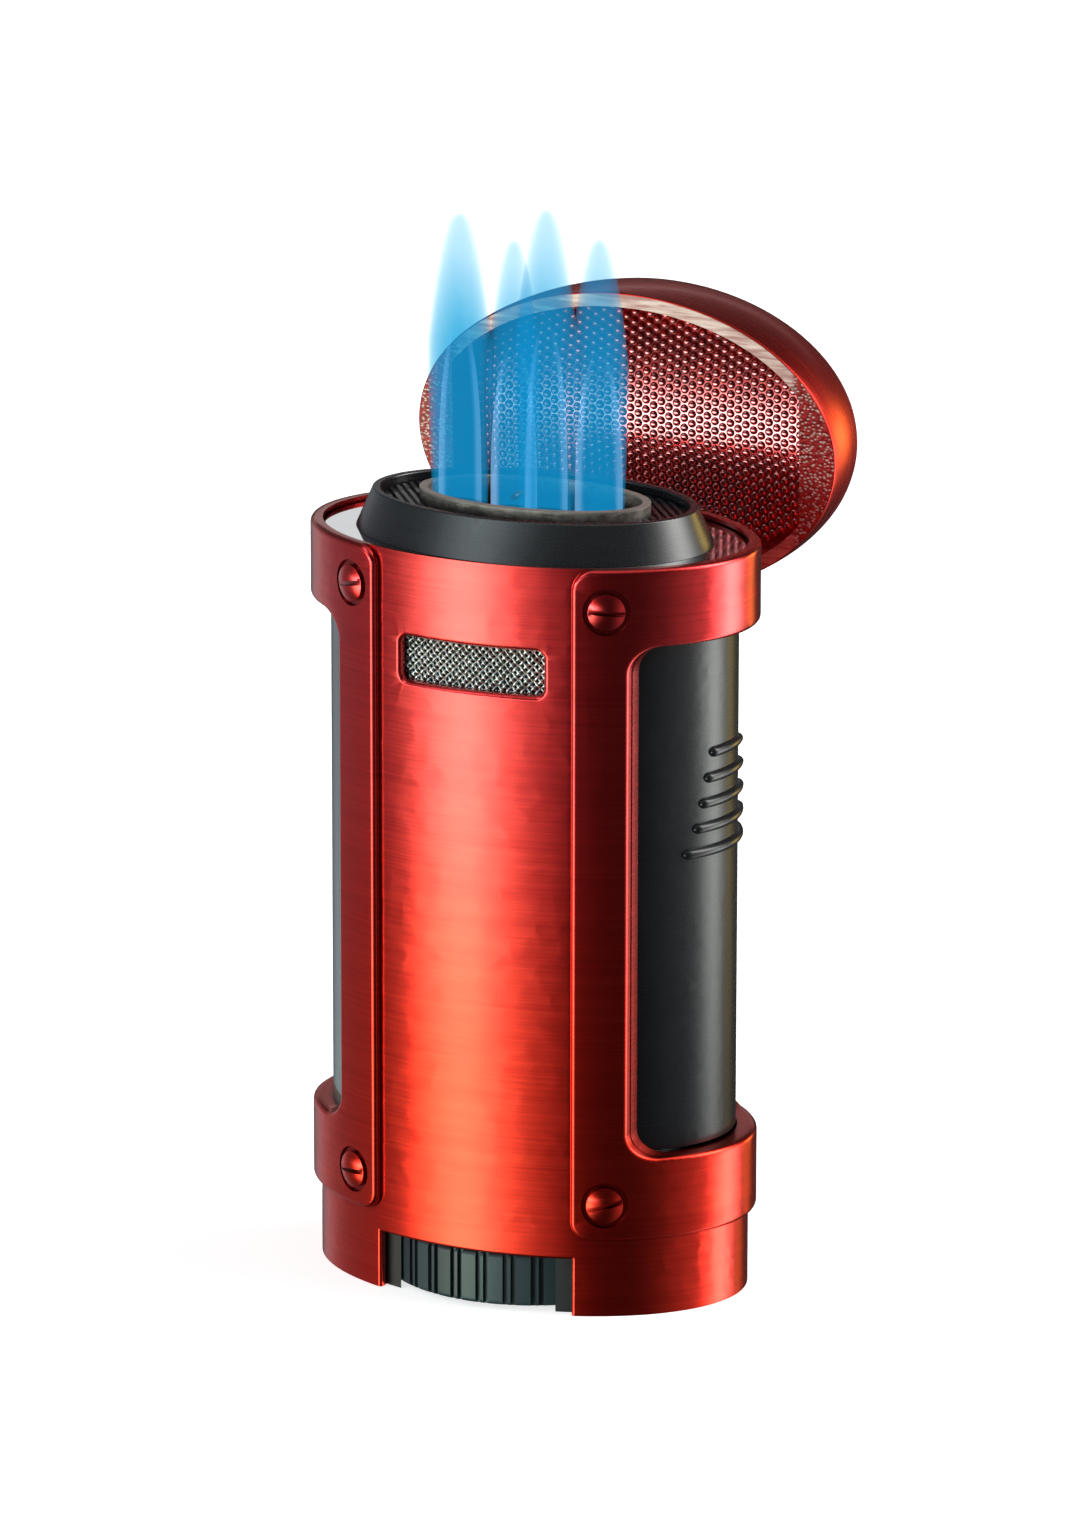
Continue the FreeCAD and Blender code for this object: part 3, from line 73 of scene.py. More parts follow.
# ------------------------------------------------------------------ node trees, written short
class Tree:
    def __init__(self, tree):
        self.t = tree

    def add(self, kind, **props):
        n = self.t.nodes.new(kind)
        for k, v in props.items():
            setattr(n, k, v)
        return n

    def put(self, sock, val):
        if isinstance(val, bpy.types.NodeSocket):
            self.t.links.new(val, sock)
        elif isinstance(val, (tuple, list)) and len(val) == 3 and len(sock.default_value) == 4:
            sock.default_value = (*val, 1.0)
        else:
            sock.default_value = val

    def math(self, op, a, b=0.0, c=None, clamp=False):
        n = self.add("ShaderNodeMath", operation=op, use_clamp=clamp)
        self.put(n.inputs[0], a)
        self.put(n.inputs[1], b)
        if c is not None:
            self.put(n.inputs[2], c)
        return n.outputs[0]

    def vmath(self, op, a, b=None, scale=None):
        n = self.add("ShaderNodeVectorMath", operation=op)
        self.put(n.inputs[0], a)
        if b is not None:
            self.put(n.inputs[1], b)
        if scale is not None:
            self.put(n.inputs["Scale"], scale)
        return n.outputs["Value"] if op in ("LENGTH", "DOT_PRODUCT") else n.outputs["Vector"]

    def span(self, val, a, b, lo=0.0, hi=1.0, smooth=True):
        n = self.add("ShaderNodeMapRange", interpolation_type="SMOOTHSTEP" if smooth else "LINEAR")
        for i, v in enumerate((val, a, b, lo, hi)):
            self.put(n.inputs[i], v)
        return n.outputs[0]

    def noise(self, vec, scale=1.0, detail=4.0, rough=0.55, distort=0.0):
        n = self.add("ShaderNodeTexNoise")
        self.put(n.inputs["Vector"], vec)
        n.inputs["Scale"].default_value = scale
        n.inputs["Detail"].default_value = detail
        n.inputs["Roughness"].default_value = rough
        n.inputs["Distortion"].default_value = distort
        return n.outputs["Fac"]

    def voronoi(self, vec, scale, feature="F1"):
        n = self.add("ShaderNodeTexVoronoi", feature=feature)
        self.put(n.inputs["Vector"], vec)
        n.inputs["Scale"].default_value = scale
        return n.outputs["Distance"]

    def mix(self, fac, a, b):
        n = self.add("ShaderNodeMix", data_type="RGBA")
        self.put(n.inputs[0], fac)
        self.put(n.inputs[6], a)
        self.put(n.inputs[7], b)
        return n.outputs[2]

    def bump(self, height, strength, dist_mm, normal=None):
        n = self.add("ShaderNodeBump")
        self.put(n.inputs["Height"], height)
        n.inputs["Strength"].default_value = strength
        n.inputs["Distance"].default_value = dist_mm * MM
        if normal is not None:
            self.put(n.inputs["Normal"], normal)
        return n.outputs["Normal"]

    def painted_crease_shade(self, reach_mm):
        """Mask for painted shade: 0 in a crease where pieces meet, 1 in the open."""
        n = self.add("ShaderNodeAmbientOcclusion", samples=6)
        n.inputs["Distance"].default_value = reach_mm * MM
        return self.span(n.outputs["AO"], 0.42, 0.86)

    def coords(self):
        return self.add("ShaderNodeTexCoord").outputs["Object"]

    def split(self, vec):
        n = self.add("ShaderNodeSeparateXYZ")
        self.put(n.inputs[0], vec)
        return n.outputs[0], n.outputs[1], n.outputs[2]

    def join(self, x, y, z):
        n = self.add("ShaderNodeCombineXYZ")
        for s, v in zip(n.inputs, (x, y, z)):
            self.put(s, v)
        return n.outputs[0]


def material(name):
    m = bpy.data.materials.new(name)
    m.use_nodes = True
    m.node_tree.nodes.clear()
    t = Tree(m.node_tree)
    out = t.add("ShaderNodeOutputMaterial")
    p = t.add("ShaderNodeBsdfPrincipled")
    t.t.links.new(p.outputs[0], out.inputs["Surface"])
    t.p, t.out, t.m = p, out, m
    return t


def setp(t, **kw):
    names = dict(color="Base Color", metal="Metallic", rough="Roughness", normal="Normal", spec="Specular IOR Level", ior="IOR",
                 coat="Coat Weight", coat_rough="Coat Roughness", coat_tint="Coat Tint", aniso="Anisotropic", turn="Anisotropic Rotation",
                 tangent="Tangent", trans="Transmission Weight", alpha="Alpha", sheen="Sheen Weight", coat_normal="Coat Normal", coat_ior="Coat IOR",
                 glow="Emission Color", glow_k="Emission Strength", tint="Specular Tint", sss="Subsurface Weight")
    for k, v in kw.items():
        t.put(t.p.inputs[names[k]], v)
    return t.m


def lacquer(name, lid=False):
    """Candy red lacquer over metal brushed round the case. The grooves run round the piece, so the noise is long that way and fine across."""
    t = material(name)
    co = t.coords()
    x, y, z = t.split(co)
    if lid:  # the opened lid stands on its side: the grooves run round its own axis, which lies along Y
        run = t.join(t.math("MULTIPLY", x, 70), t.math("MULTIPLY", y, 8200), t.math("MULTIPLY", z, 70))
    else:
        run = t.join(t.math("MULTIPLY", x, 70), t.math("MULTIPLY", y, 70), t.math("MULTIPLY", z, 8200))
    grooves = t.noise(run, 1.0, 5.0, 0.62)
    if lid:
        broad = t.join(t.math("MULTIPLY", x, 25), t.math("MULTIPLY", y, 900), t.math("MULTIPLY", z, 25))
    else:
        broad = t.join(t.math("MULTIPLY", x, 25), t.math("MULTIPLY", y, 25), t.math("MULTIPLY", z, 900))
    bands = t.noise(broad, 1.0, 3.0, 0.5)
    cloud = t.noise(co, 160, 3.0, 0.5)
    grain = t.math("ADD", t.math("MULTIPLY", grooves, 0.7), t.math("MULTIPLY", bands, 0.3))
    shade = t.span(grain, 0.34, 0.66)
    deep, bright = (0.64, 0.021, 0.026), (0.82, 0.038, 0.042)
    base = t.mix(shade, deep, bright)
    base = t.mix(t.math("MULTIPLY", cloud, 0.22), base, (0.72, 0.030, 0.030))
    high = 1.0 if lid else t.span(z, 0.018, 0.058)  # painted warm light: the lacquer is tinted more orange towards the foot, standing in for warm light low on the case
    base = t.mix(high, t.vmath("MULTIPLY", base, (1.05, 1.0, 0.40)), base)
    # painted shade: the lacquer is darkened in the creases round the screws, frame edges and vent
    base = t.mix(t.painted_crease_shade(0.9), t.vmath("MULTIPLY", base, (0.30, 0.16, 0.16)), base)
    rough = t.math("ADD", t.math("MULTIPLY", grooves, 0.10), 0.20)
    speck = t.noise(co, 9000, 2.0, 0.5)
    tan = t.add("ShaderNodeTangent", direction_type="RADIAL", axis="Y" if lid else "Z").outputs[0]
    flake = t.bump(speck, 0.05, 0.01)
    # the coat thins towards the foot together with the painted warm light
    return setp(t, color=base, metal=1.0, rough=rough, aniso=0.55, turn=0.25, tangent=tan, normal=t.bump(grooves, 0.16, 0.012, flake),
                coat=0.6 if lid else t.math("ADD", t.math("MULTIPLY", high, 0.36), 0.26), coat_rough=0.13, coat_tint=(1.0, 0.90, 0.74),
                coat_normal=t.bump(bands, 0.05, 0.02))


def leaned(t, normal, amount):
    """The normal, leaned towards the piece's own +Z: the lid's rim and roof were polished slightly out of flat."""
    vt = t.add("ShaderNodeVectorTransform", vector_type="NORMAL", convert_from="OBJECT", convert_to="WORLD")
    t.put(vt.inputs[0], (0.0, 0.0, 1.0))
    return t.vmath("NORMALIZE", t.vmath("ADD", normal, t.vmath("SCALE", vt.outputs[0], scale=amount)))


def rim_lacquer(name):
    """The lid: brushed lacquer outside, a cross-brushed rim, and hammered lands at the two ends of the pocket."""
    t = material(name)
    co = t.coords()
    x, y, z = t.split(co)
    # the rim's plane faces -Y in the opened lid
    geo = t.add("ShaderNodeNewGeometry")
    tc = t.add("ShaderNodeTexCoord")
    nx, ny, nz = t.split(tc.outputs["Normal"])
    face = t.span(t.math("MULTIPLY", ny, -1.0), 0.90, 0.97)
    run = t.join(t.math("MULTIPLY", x, 70), t.math("MULTIPLY", y, 8200), t.math("MULTIPLY", z, 70))
    grooves = t.noise(run, 1.0, 5.0, 0.62)
    broad = t.noise(t.join(t.math("MULTIPLY", x, 25), t.math("MULTIPLY", y, 900), t.math("MULTIPLY", z, 25)), 1.0, 3.0, 0.5)
    cross = t.noise(t.join(t.math("MULTIPLY", t.math("ADD", x, t.math("MULTIPLY", z, 0.35)), 260), t.math("MULTIPLY", y, 300), t.math("MULTIPLY", z, 3200)), 1.0, 4.0, 0.6)
    chips = t.voronoi(t.join(t.math("MULTIPLY", x, 1.0), y, t.math("MULTIPLY", z, 1.4)), 2600)
    ends = t.span(t.math("ADD", t.math("ABSOLUTE", x), t.math("MULTIPLY", chips, 0.0006)), 0.01590, 0.01680)
    grain = t.math("ADD", t.math("MULTIPLY", grooves, 0.7), t.math("MULTIPLY", broad, 0.3))
    base = t.mix(t.span(grain, 0.34, 0.66), (0.68, 0.028, 0.021), (0.86, 0.050, 0.032))
    worn = t.mix(t.span(cross, 0.35, 0.65), (0.24, 0.10, 0.095), (0.42, 0.27, 0.25))
    pitted = t.mix(t.span(chips, 0.15, 0.5), (0.62, 0.40, 0.36), (0.30, 0.02, 0.02))
    worn = t.mix(ends, worn, pitted)
    base = t.mix(face, base, worn)
    rough = t.math("ADD", t.math("MULTIPLY", grooves, 0.12), t.math("ADD", 0.20, t.math("MULTIPLY", face, 0.22)))
    tan = t.add("ShaderNodeTangent", direction_type="RADIAL", axis="Y").outputs[0]
    n0 = t.bump(grooves, 0.16, 0.012)
    n1 = t.bump(t.math("MULTIPLY", cross, face), 0.5, 0.03, n0)
    n2 = t.bump(t.math("MULTIPLY", t.math("MULTIPLY", chips, face), ends), 0.9, 0.12, n1)
    n2 = leaned(t, n2, t.math("MULTIPLY", face, 0.15))
    return setp(t, color=base, metal=1.0, rough=rough, aniso=0.5, turn=0.25, tangent=tan, normal=n2,
                coat=0.2, coat_rough=0.12, coat_tint=(1.0, 0.86, 0.80))


def knurl_lacquer(name):
    t = material(name)
    co = t.coords()
    cloud = t.noise(co, 900, 4.0, 0.6)
    fine = t.noise(co, 7000, 3.0, 0.5)
    base = t.mix(t.span(cloud, 0.35, 0.65), (0.27, 0.009, 0.010), (0.44, 0.020, 0.019))
    return setp(t, color=base, metal=1.0, rough=t.math("ADD", 0.14, t.math("MULTIPLY", fine, 0.10)), normal=leaned(t, t.bump(fine, 0.12, 0.012), 0.168),
                coat=1.0, coat_normal=leaned(t, t.bump(fine, 0.06, 0.012), 0.168), coat_rough=0.08, coat_ior=1.9)


def general(name, lo, hi, metal=0.0, rough=0.4, vary=0.1, scale=600, bump=0.05, bump_scale=5000, dist=0.02, stretch=None, **kw):
    """One part's finish: two tones clouded together, roughness that wanders, and a fine relief."""
    t = material(name)
    co = t.coords()
    if stretch:
        fine_at = t.vmath("MULTIPLY", co, stretch)
        fine = t.noise(fine_at, 1.0, 4.0, 0.6)
    else:
        fine = t.noise(co, bump_scale, 3.0, 0.55)
    cloud = t.noise(co, scale, 4.0, 0.55)
    both = t.math("ADD", t.math("MULTIPLY", cloud, 0.6), t.math("MULTIPLY", fine, 0.4))
    base = t.mix(t.span(both, 0.36, 0.64), lo, hi)
    rg = t.math("ADD", rough - vary / 2, t.math("MULTIPLY", both, vary))
    return setp(t, color=base, metal=metal, rough=rg, normal=t.bump(fine, bump, dist), **kw)


def worn_metal(name):
    """The burner's shroud: heat-browned, scraped metal with pale scuffs, paler along its top rim, and painted shade,
    near-black, low down inside it.
    """
    t = material(name)
    co = t.coords()
    x, y, z = t.split(co)
    cloud = t.noise(co, 700, 6.0, 0.65)
    pits = t.noise(co, 3800, 5.0, 0.7)
    scuff = t.noise(t.vmath("MULTIPLY", co, (900, 900, 5200)), 1.0, 4.0, 0.6)
    base = t.mix(t.span(cloud, 0.35, 0.65), (0.15, 0.125, 0.11), (0.34, 0.30, 0.27))
    base = t.mix(t.span(scuff, 0.55, 0.72), base, (0.52, 0.46, 0.41))
    base = t.mix(t.span(pits, 0.58, 0.70), base, (0.06, 0.05, 0.045))
    top = t.span(z, 0.0680, 0.06828)
    base = t.mix(t.math("MULTIPLY", top, 0.5), base, (0.60, 0.54, 0.49))
    # painted shade: below its top the shroud is painted near-black, standing in for the shade down inside it
    inside = t.span(z, 0.0668, 0.0678)
    base = t.mix(inside, (0.035, 0.035, 0.038), base)
    return setp(t, color=base, metal=0.7, rough=t.math("ADD", 0.38, t.math("MULTIPLY", pits, 0.25)), normal=t.bump(t.math("ADD", cloud, pits), 0.55, 0.05))


def wheel_plastic(name):
    """Blue-black moulded plastic: each flat takes a slightly different tone, and the crown is scuffed."""
    t = material(name)
    co = t.coords()
    x, y, z = t.split(co)
    ang = t.math("ARCTAN2", y, x)
    cell = t.math("FLOOR", t.math("MULTIPLY", ang, 34 / (2 * math.pi)), 0)
    wn = t.add("ShaderNodeTexWhiteNoise", noise_dimensions="1D")
    t.put(wn.inputs["W"], cell)
    tone = wn.outputs["Value"]
    cloud = t.noise(co, 500, 4.0, 0.6)
    fine = t.noise(co, 5200, 3.0, 0.6)
    base = t.mix(tone, (0.016, 0.026, 0.034), (0.040, 0.060, 0.074))
    base = t.mix(t.math("MULTIPLY", cloud, 0.35), base, (0.02, 0.028, 0.036))
    return setp(t, color=base, rough=t.math("ADD", 0.30, t.math("MULTIPLY", fine, 0.2)), spec=0.46, normal=t.bump(fine, 0.14, 0.02))


def satin_black(name, grain=True, rough=0.36, spec=0.6, fade=False):
    """Black moulded plastic, slightly brushed, with dust-fine flecks."""
    t = material(name)
    co = t.coords()
    fine = t.noise(co, 6200, 3.0, 0.6)
    brushed = t.noise(t.vmath("MULTIPLY", co, (260, 260, 3000)), 1.0, 4.0, 0.6)
    cloud = t.noise(co, 350, 3.0, 0.5)
    base = t.mix(cloud, (0.006, 0.0065, 0.0078), (0.013, 0.014, 0.0165))
    rg = t.math("ADD", rough - 0.06, t.math("MULTIPLY", t.math("ADD", t.math("MULTIPLY", fine, 0.5), t.math("MULTIPLY", brushed, 0.5)), 0.12))
    shine = t.span(t.split(co)[2], 0.004, 0.056, 0.30, 1.0) if fade else 1.0  # worn duller towards the foot
    return setp(t, color=base, rough=rg, spec=t.math("MULTIPLY", shine, spec), normal=t.bump(t.math("ADD", fine, t.math("MULTIPLY", brushed, 0.8 if grain else 0.0)), 0.10, 0.02),
                coat=t.math("MULTIPLY", shine, 0.10), coat_rough=0.16)


def smoked(name):
    """Smoked window: dark, glossy, with a grey-teal cast that lightens towards the bottom, and a faint view of the tank behind."""
    t = material(name)
    co = t.coords()
    x, y, z = t.split(co)
    fall = t.span(z, 0.014, 0.058)
    haze = t.noise(co, 260, 4.0, 0.6)
    fine = t.noise(co, 4500, 2.0, 0.5)
    base = t.mix(fall, (0.34, 0.42, 0.42), (0.12, 0.16, 0.17))
    base = t.mix(t.math("MULTIPLY", haze, 0.25), base, (0.08, 0.10, 0.11))
    return setp(t, color=base, rough=t.math("ADD", 0.05, t.math("MULTIPLY", fine, 0.05)), trans=0.78, ior=1.49, coat=0.3, coat_rough=0.04,
                normal=t.bump(haze, 0.03, 0.05))


def mirror(name):
    t = material(name)
    co = t.coords()
    fine = t.noise(t.vmath("MULTIPLY", co, (300, 2600, 300)), 1.0, 3.0, 0.5)
    cloud = t.noise(co, 300, 3.0, 0.5)
    return setp(t, color=t.mix(cloud, (0.80, 0.82, 0.83), (0.90, 0.91, 0.92)), metal=1.0, rough=t.math("ADD", 0.035, t.math("MULTIPLY", fine, 0.04)),
                normal=t.bump(fine, 0.05, 0.01))


SLOT = {
    "mesh_wire": lambda n: general(n, (0.34, 0.34, 0.345), (0.72, 0.72, 0.71), 1.0, 0.30, 0.2, 1500, 0.2),
    "smoked_plastic": smoked,
    "wheel_plastic": wheel_plastic,
    "steel": lambda n: general(n, (0.42, 0.42, 0.44), (0.62, 0.62, 0.64), 1.0, 0.3, 0.18, 900, 0.12, stretch=(4200, 300, 300)),
    "brass": lambda n: general(n, (0.55, 0.38, 0.15), (0.78, 0.58, 0.27), 1.0, 0.28, 0.16, 700, 0.1, stretch=(400, 400, 5000)),
    "tank_plastic": lambda n: general(n, (0.42, 0.46, 0.48), (0.60, 0.64, 0.66), 0.0, 0.22, 0.1, 400, 0.05, coat=0.2),
    "rubber": lambda n: general(n, (0.018, 0.018, 0.018), (0.035, 0.035, 0.036), 0.0, 0.7, 0.15, 1200, 0.3),
    "frame_plastic": lambda n: general(n, (0.22, 0.225, 0.24), (0.32, 0.325, 0.34), 0.0, 0.45, 0.1, 500, 0.1),
    "piezo_plastic": lambda n: general(n, (0.03, 0.06, 0.22), (0.05, 0.10, 0.34), 0.0, 0.35, 0.1, 500, 0.08),
    "zinc": lambda n: general(n, (0.40, 0.40, 0.42), (0.58, 0.58, 0.60), 1.0, 0.42, 0.2, 1100, 0.3),
    "worn_brass": worn_metal,
    "ceramic": lambda n: general(n, (0.30, 0.26, 0.22), (0.55, 0.51, 0.46), 0.0, 0.55, 0.15, 1500, 0.3),
    "lead_plastic": lambda n: general(n, (0.10, 0.012, 0.012), (0.20, 0.02, 0.02), 0.0, 0.45, 0.1, 900, 0.1),
    "mirror_chrome": mirror,
    "red_lacquer": lacquer,
    "black_plastic": satin_black,
}

slots = {}
for s in (frame["record"].get("subparts") or frame["record"].get("sub_parts") or []):
    slots[s["node"]] = s["material_slot"]
made = {}


def finish_of(node):
    special = {
        "lid_shell": ("lid_lacquer", rim_lacquer),
        "trigger": ("trigger_black", lambda n: satin_black(n, True, 0.27, 0.46, True)),
        "collar": ("collar_black", lambda n: satin_black(n, True, 0.27, 0.8)),
        "collar_insert": ("insert_black", lambda n: satin_black(n, False, 0.24, 1.0)),
        "nozzle_plate": ("nozzle_black", lambda n: general(n, (0.02, 0.02, 0.022), (0.05, 0.05, 0.055), 0.6, 0.45, 0.2, 1500, 0.3)),
    }
    key, make = special.get(node, (slots.get(node, "steel"), SLOT.get(slots.get(node, "steel"), SLOT["steel"])))
    if key not in made:
        made[key] = make(key)
    return made[key]


# ------------------------------------------------------------------ tidy shading of the CAD meshes
def tidy_group():
    g = bpy.data.node_groups.new("tidy_shading", "GeometryNodeTree")
    g.interface.new_socket("Geometry", in_out="INPUT", socket_type="NodeSocketGeometry")
    g.interface.new_socket("Geometry", in_out="OUTPUT", socket_type="NodeSocketGeometry")
    g.is_modifier = True
    a, b = g.nodes.new("NodeGroupInput"), g.nodes.new("NodeGroupOutput")
    weld = g.nodes.new("GeometryNodeMergeByDistance")
    weld.inputs["Distance"].default_value = 2e-6
    ang = g.nodes.new("GeometryNodeInputMeshEdgeAngle")
    cmp = g.nodes.new("FunctionNodeCompare")
    cmp.data_type, cmp.operation = "FLOAT", "GREATER_THAN"
    cmp.inputs[1].default_value = math.radians(33)
    s1, s2 = g.nodes.new("GeometryNodeSetShadeSmooth"), g.nodes.new("GeometryNodeSetShadeSmooth")
    s1.domain, s2.domain = "FACE", "EDGE"
    s1.inputs["Shade Smooth"].default_value = True
    s2.inputs["Shade Smooth"].default_value = False
    ln = g.links.new
    ln(a.outputs[0], weld.inputs[0])
    ln(weld.outputs[0], s1.inputs[0])
    ln(s1.outputs[0], s2.inputs[0])
    ln(ang.outputs[0], cmp.inputs[0])
    ln(cmp.outputs[0], s2.inputs["Selection"])
    ln(s2.outputs[0], b.inputs[0])
    return g


TIDY = tidy_group()
for name, o in NODES.items():
    me = o.data
    if "custom_normal" in me.attributes:
        me.attributes.remove(me.attributes["custom_normal"])
    me.materials.clear()
    me.materials.append(finish_of(name))
    for p in me.polygons:
        p.material_index = 0
    mod = o.modifiers.new("tidy", "NODES")
    mod.node_group = TIDY
    wn = o.modifiers.new("weighted", "WEIGHTED_NORMAL")
    wn.keep_sharp = True
    wn.weight = 60


def mesh_object(name, verts, faces, mat, smooth=True):
    me = bpy.data.meshes.new(name)
    me.from_pydata(verts, [], faces)
    me.materials.append(mat)
    me.update()
    if smooth:
        me.polygons.foreach_set("use_smooth", [True] * len(me.polygons))
    o = bpy.data.objects.new(name, me)
    scene.collection.objects.link(o)
    return o


# ------------------------------------------------------------------ woven wire behind the vent
def woven():
    ea, eb = 18.06, 11.98
    x0, x1, z0, z1 = -7.25, 7.25, 53.5, 58.85
    step, rad, sides = 0.44, 0.135, 6
    verts, faces = [], []

    def on_wall(u, w, lift):
        """u along the wall's width, w up: a point on the curved sheet, lifted along its outward normal."""
        y = -eb * math.sqrt(1 - (u / ea) ** 2)
        n = Vector((u / ea ** 2, y / eb ** 2, 0)).normalized()
        return Vector((u, y, w)) + n * lift

    for fam in (1, -1):
        span = (x1 - x0) + (z1 - z0)
        for k in range(int(span / (step * math.sqrt(2))) + 2):
            # a line of slope fam through the rectangle
            c = (x0 - (z1 - z0) if fam > 0 else x0) + k * step * math.sqrt(2)
            pts = []
            n = int((z1 - z0) * math.sqrt(2) / (step / 3.0))
            for i in range(n + 1):
                w = z0 + (z1 - z0) * i / n
                u = c + (w - z0) if fam > 0 else c - (w - z0) + 0.0
                if x0 <= u <= x1:
                    along = (w - z0) * math.sqrt(2)
                    # strands of the other family cross every step: over, then under
                    phase = math.pi * (along / step) + math.pi * k
                    pts.append(on_wall(u, w, fam * 0.10 * math.sin(phase)))
            if len(pts) < 3:
                continue
            base = len(verts)
            for i, p in enumerate(pts):
                d = (pts[min(i + 1, len(pts) - 1)] - pts[max(i - 1, 0)]).normalized()
                a = d.cross(Vector((0, -1, 0))).normalized()
                b = d.cross(a).normalized()
                for s in range(sides):
                    q = p + (a * math.cos(2 * math.pi * s / sides) + b * math.sin(2 * math.pi * s / sides)) * rad
                    verts.append(tuple(q * MM))
            for i in range(len(pts) - 1):
                for s in range(sides):
                    s2 = (s + 1) % sides
                    faces.append((base + i * sides + s, base + i * sides + s2, base + (i + 1) * sides + s2, base + (i + 1) * sides + s))
            faces.append(tuple(base + s for s in reversed(range(sides))))
            faces.append(tuple(base + (len(pts) - 1) * sides + s for s in range(sides)))
    o = mesh_object("vent_wire", verts, faces, finish_of("vent_mesh"))
    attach(o, "case")
    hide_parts("vent_mesh")
    return o


# ------------------------------------------------------------------ knurled roof inside the lid
def liner():
    """A slightly bulged roof, studded with flat-topped domes in a staggered pattern. Drawn with the lid shut, then turned open."""
    ea, eb, xe = 18.47, 11.97, 16.37
    zf, sag, back = 71.95, 0.0118, 0.35
    bm = bmesh.new()

    def floor(y):
        return zf - sag * (eb * eb - y * y)

    # the roof
    nx, ny = 64, 48
    grid = []
    for i in range(nx + 1):
        x = -xe + 2 * xe * i / nx
        ym = eb * math.sqrt(max(0.0, 1 - (x / ea) ** 2))
        grid.append([bm.verts.new((x, -ym + 2 * ym * j / ny, floor(-ym + 2 * ym * j / ny))) for j in range(ny + 1)])
    for i in range(nx):
        for j in range(ny):
            bm.faces.new((grid[i][j], grid[i][j + 1], grid[i + 1][j + 1], grid[i + 1][j]))
    # domes
    px, py, r, h = 1.454, 0.42, 0.385, 0.20
    rows = int(2 * eb / py) + 2
    rings, segs = 5, 12
    for j in range(rows):
        y = -eb + j * py
        for i in range(-13, 14):
            x = i * px + (px / 2 if j % 2 else 0.0)
            if abs(x) > xe - 0.30 or (x / (ea - 0.35)) ** 2 + (y / (eb - 0.35)) ** 2 > 1:
                continue
            z = floor(y)
            slope = math.atan(-2 * sag * y)
            tip = bm.verts.new((x, y - math.sin(slope) * -h * 0, z - h))
            prev = None
            for q in range(1, rings + 1):
                t = (0.45, 0.72, 0.88, 0.97, 1.0)[q - 1]
                rr, hh = r * t, h * max(0.0, 1 - t ** 3.6) ** 0.5
                ring = []
                for s in range(segs):
                    a = 2 * math.pi * s / segs
                    vx, vy = x + rr * math.cos(a), y + rr * math.sin(a)
                    ring.append(bm.verts.new((vx, vy, floor(vy) - hh + (0.03 if q == rings else 0.0))))
                for s in range(segs):
                    s2 = (s + 1) % segs
                    if prev is None:
                        bm.faces.new((tip, ring[s2], ring[s]))
                    else:
                        bm.faces.new((prev[s], prev[s2], ring[s2], ring[s]))
                prev = ring
    bmesh.ops.recalc_face_normals(bm, faces=bm.faces)
    # normals of the roof face the opening (down, when shut)
    for f in bm.faces:
        if f.normal.z > 0:
            f.normal_flip()
    turn = Matrix.Translation((0, 10.6, 57.9)) @ Matrix.Rotation(math.radians(-88.0), 4, "X") @ Matrix.Translation((0, -10.6, -57.9))
    bmesh.ops.transform(bm, matrix=Matrix.Scale(MM, 4) @ turn, verts=bm.verts)
    me = bpy.data.meshes.new("lid_knurl")
    bm.to_mesh(me)
    bm.free()
    me.materials.append(knurl_lacquer("knurl_lacquer"))
    me.polygons.foreach_set("use_smooth", [True] * len(me.polygons))
    o = bpy.data.objects.new("lid_knurl", me)
    scene.collection.objects.link(o)
    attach(o, "lid")
    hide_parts("lid_liner")
    return o


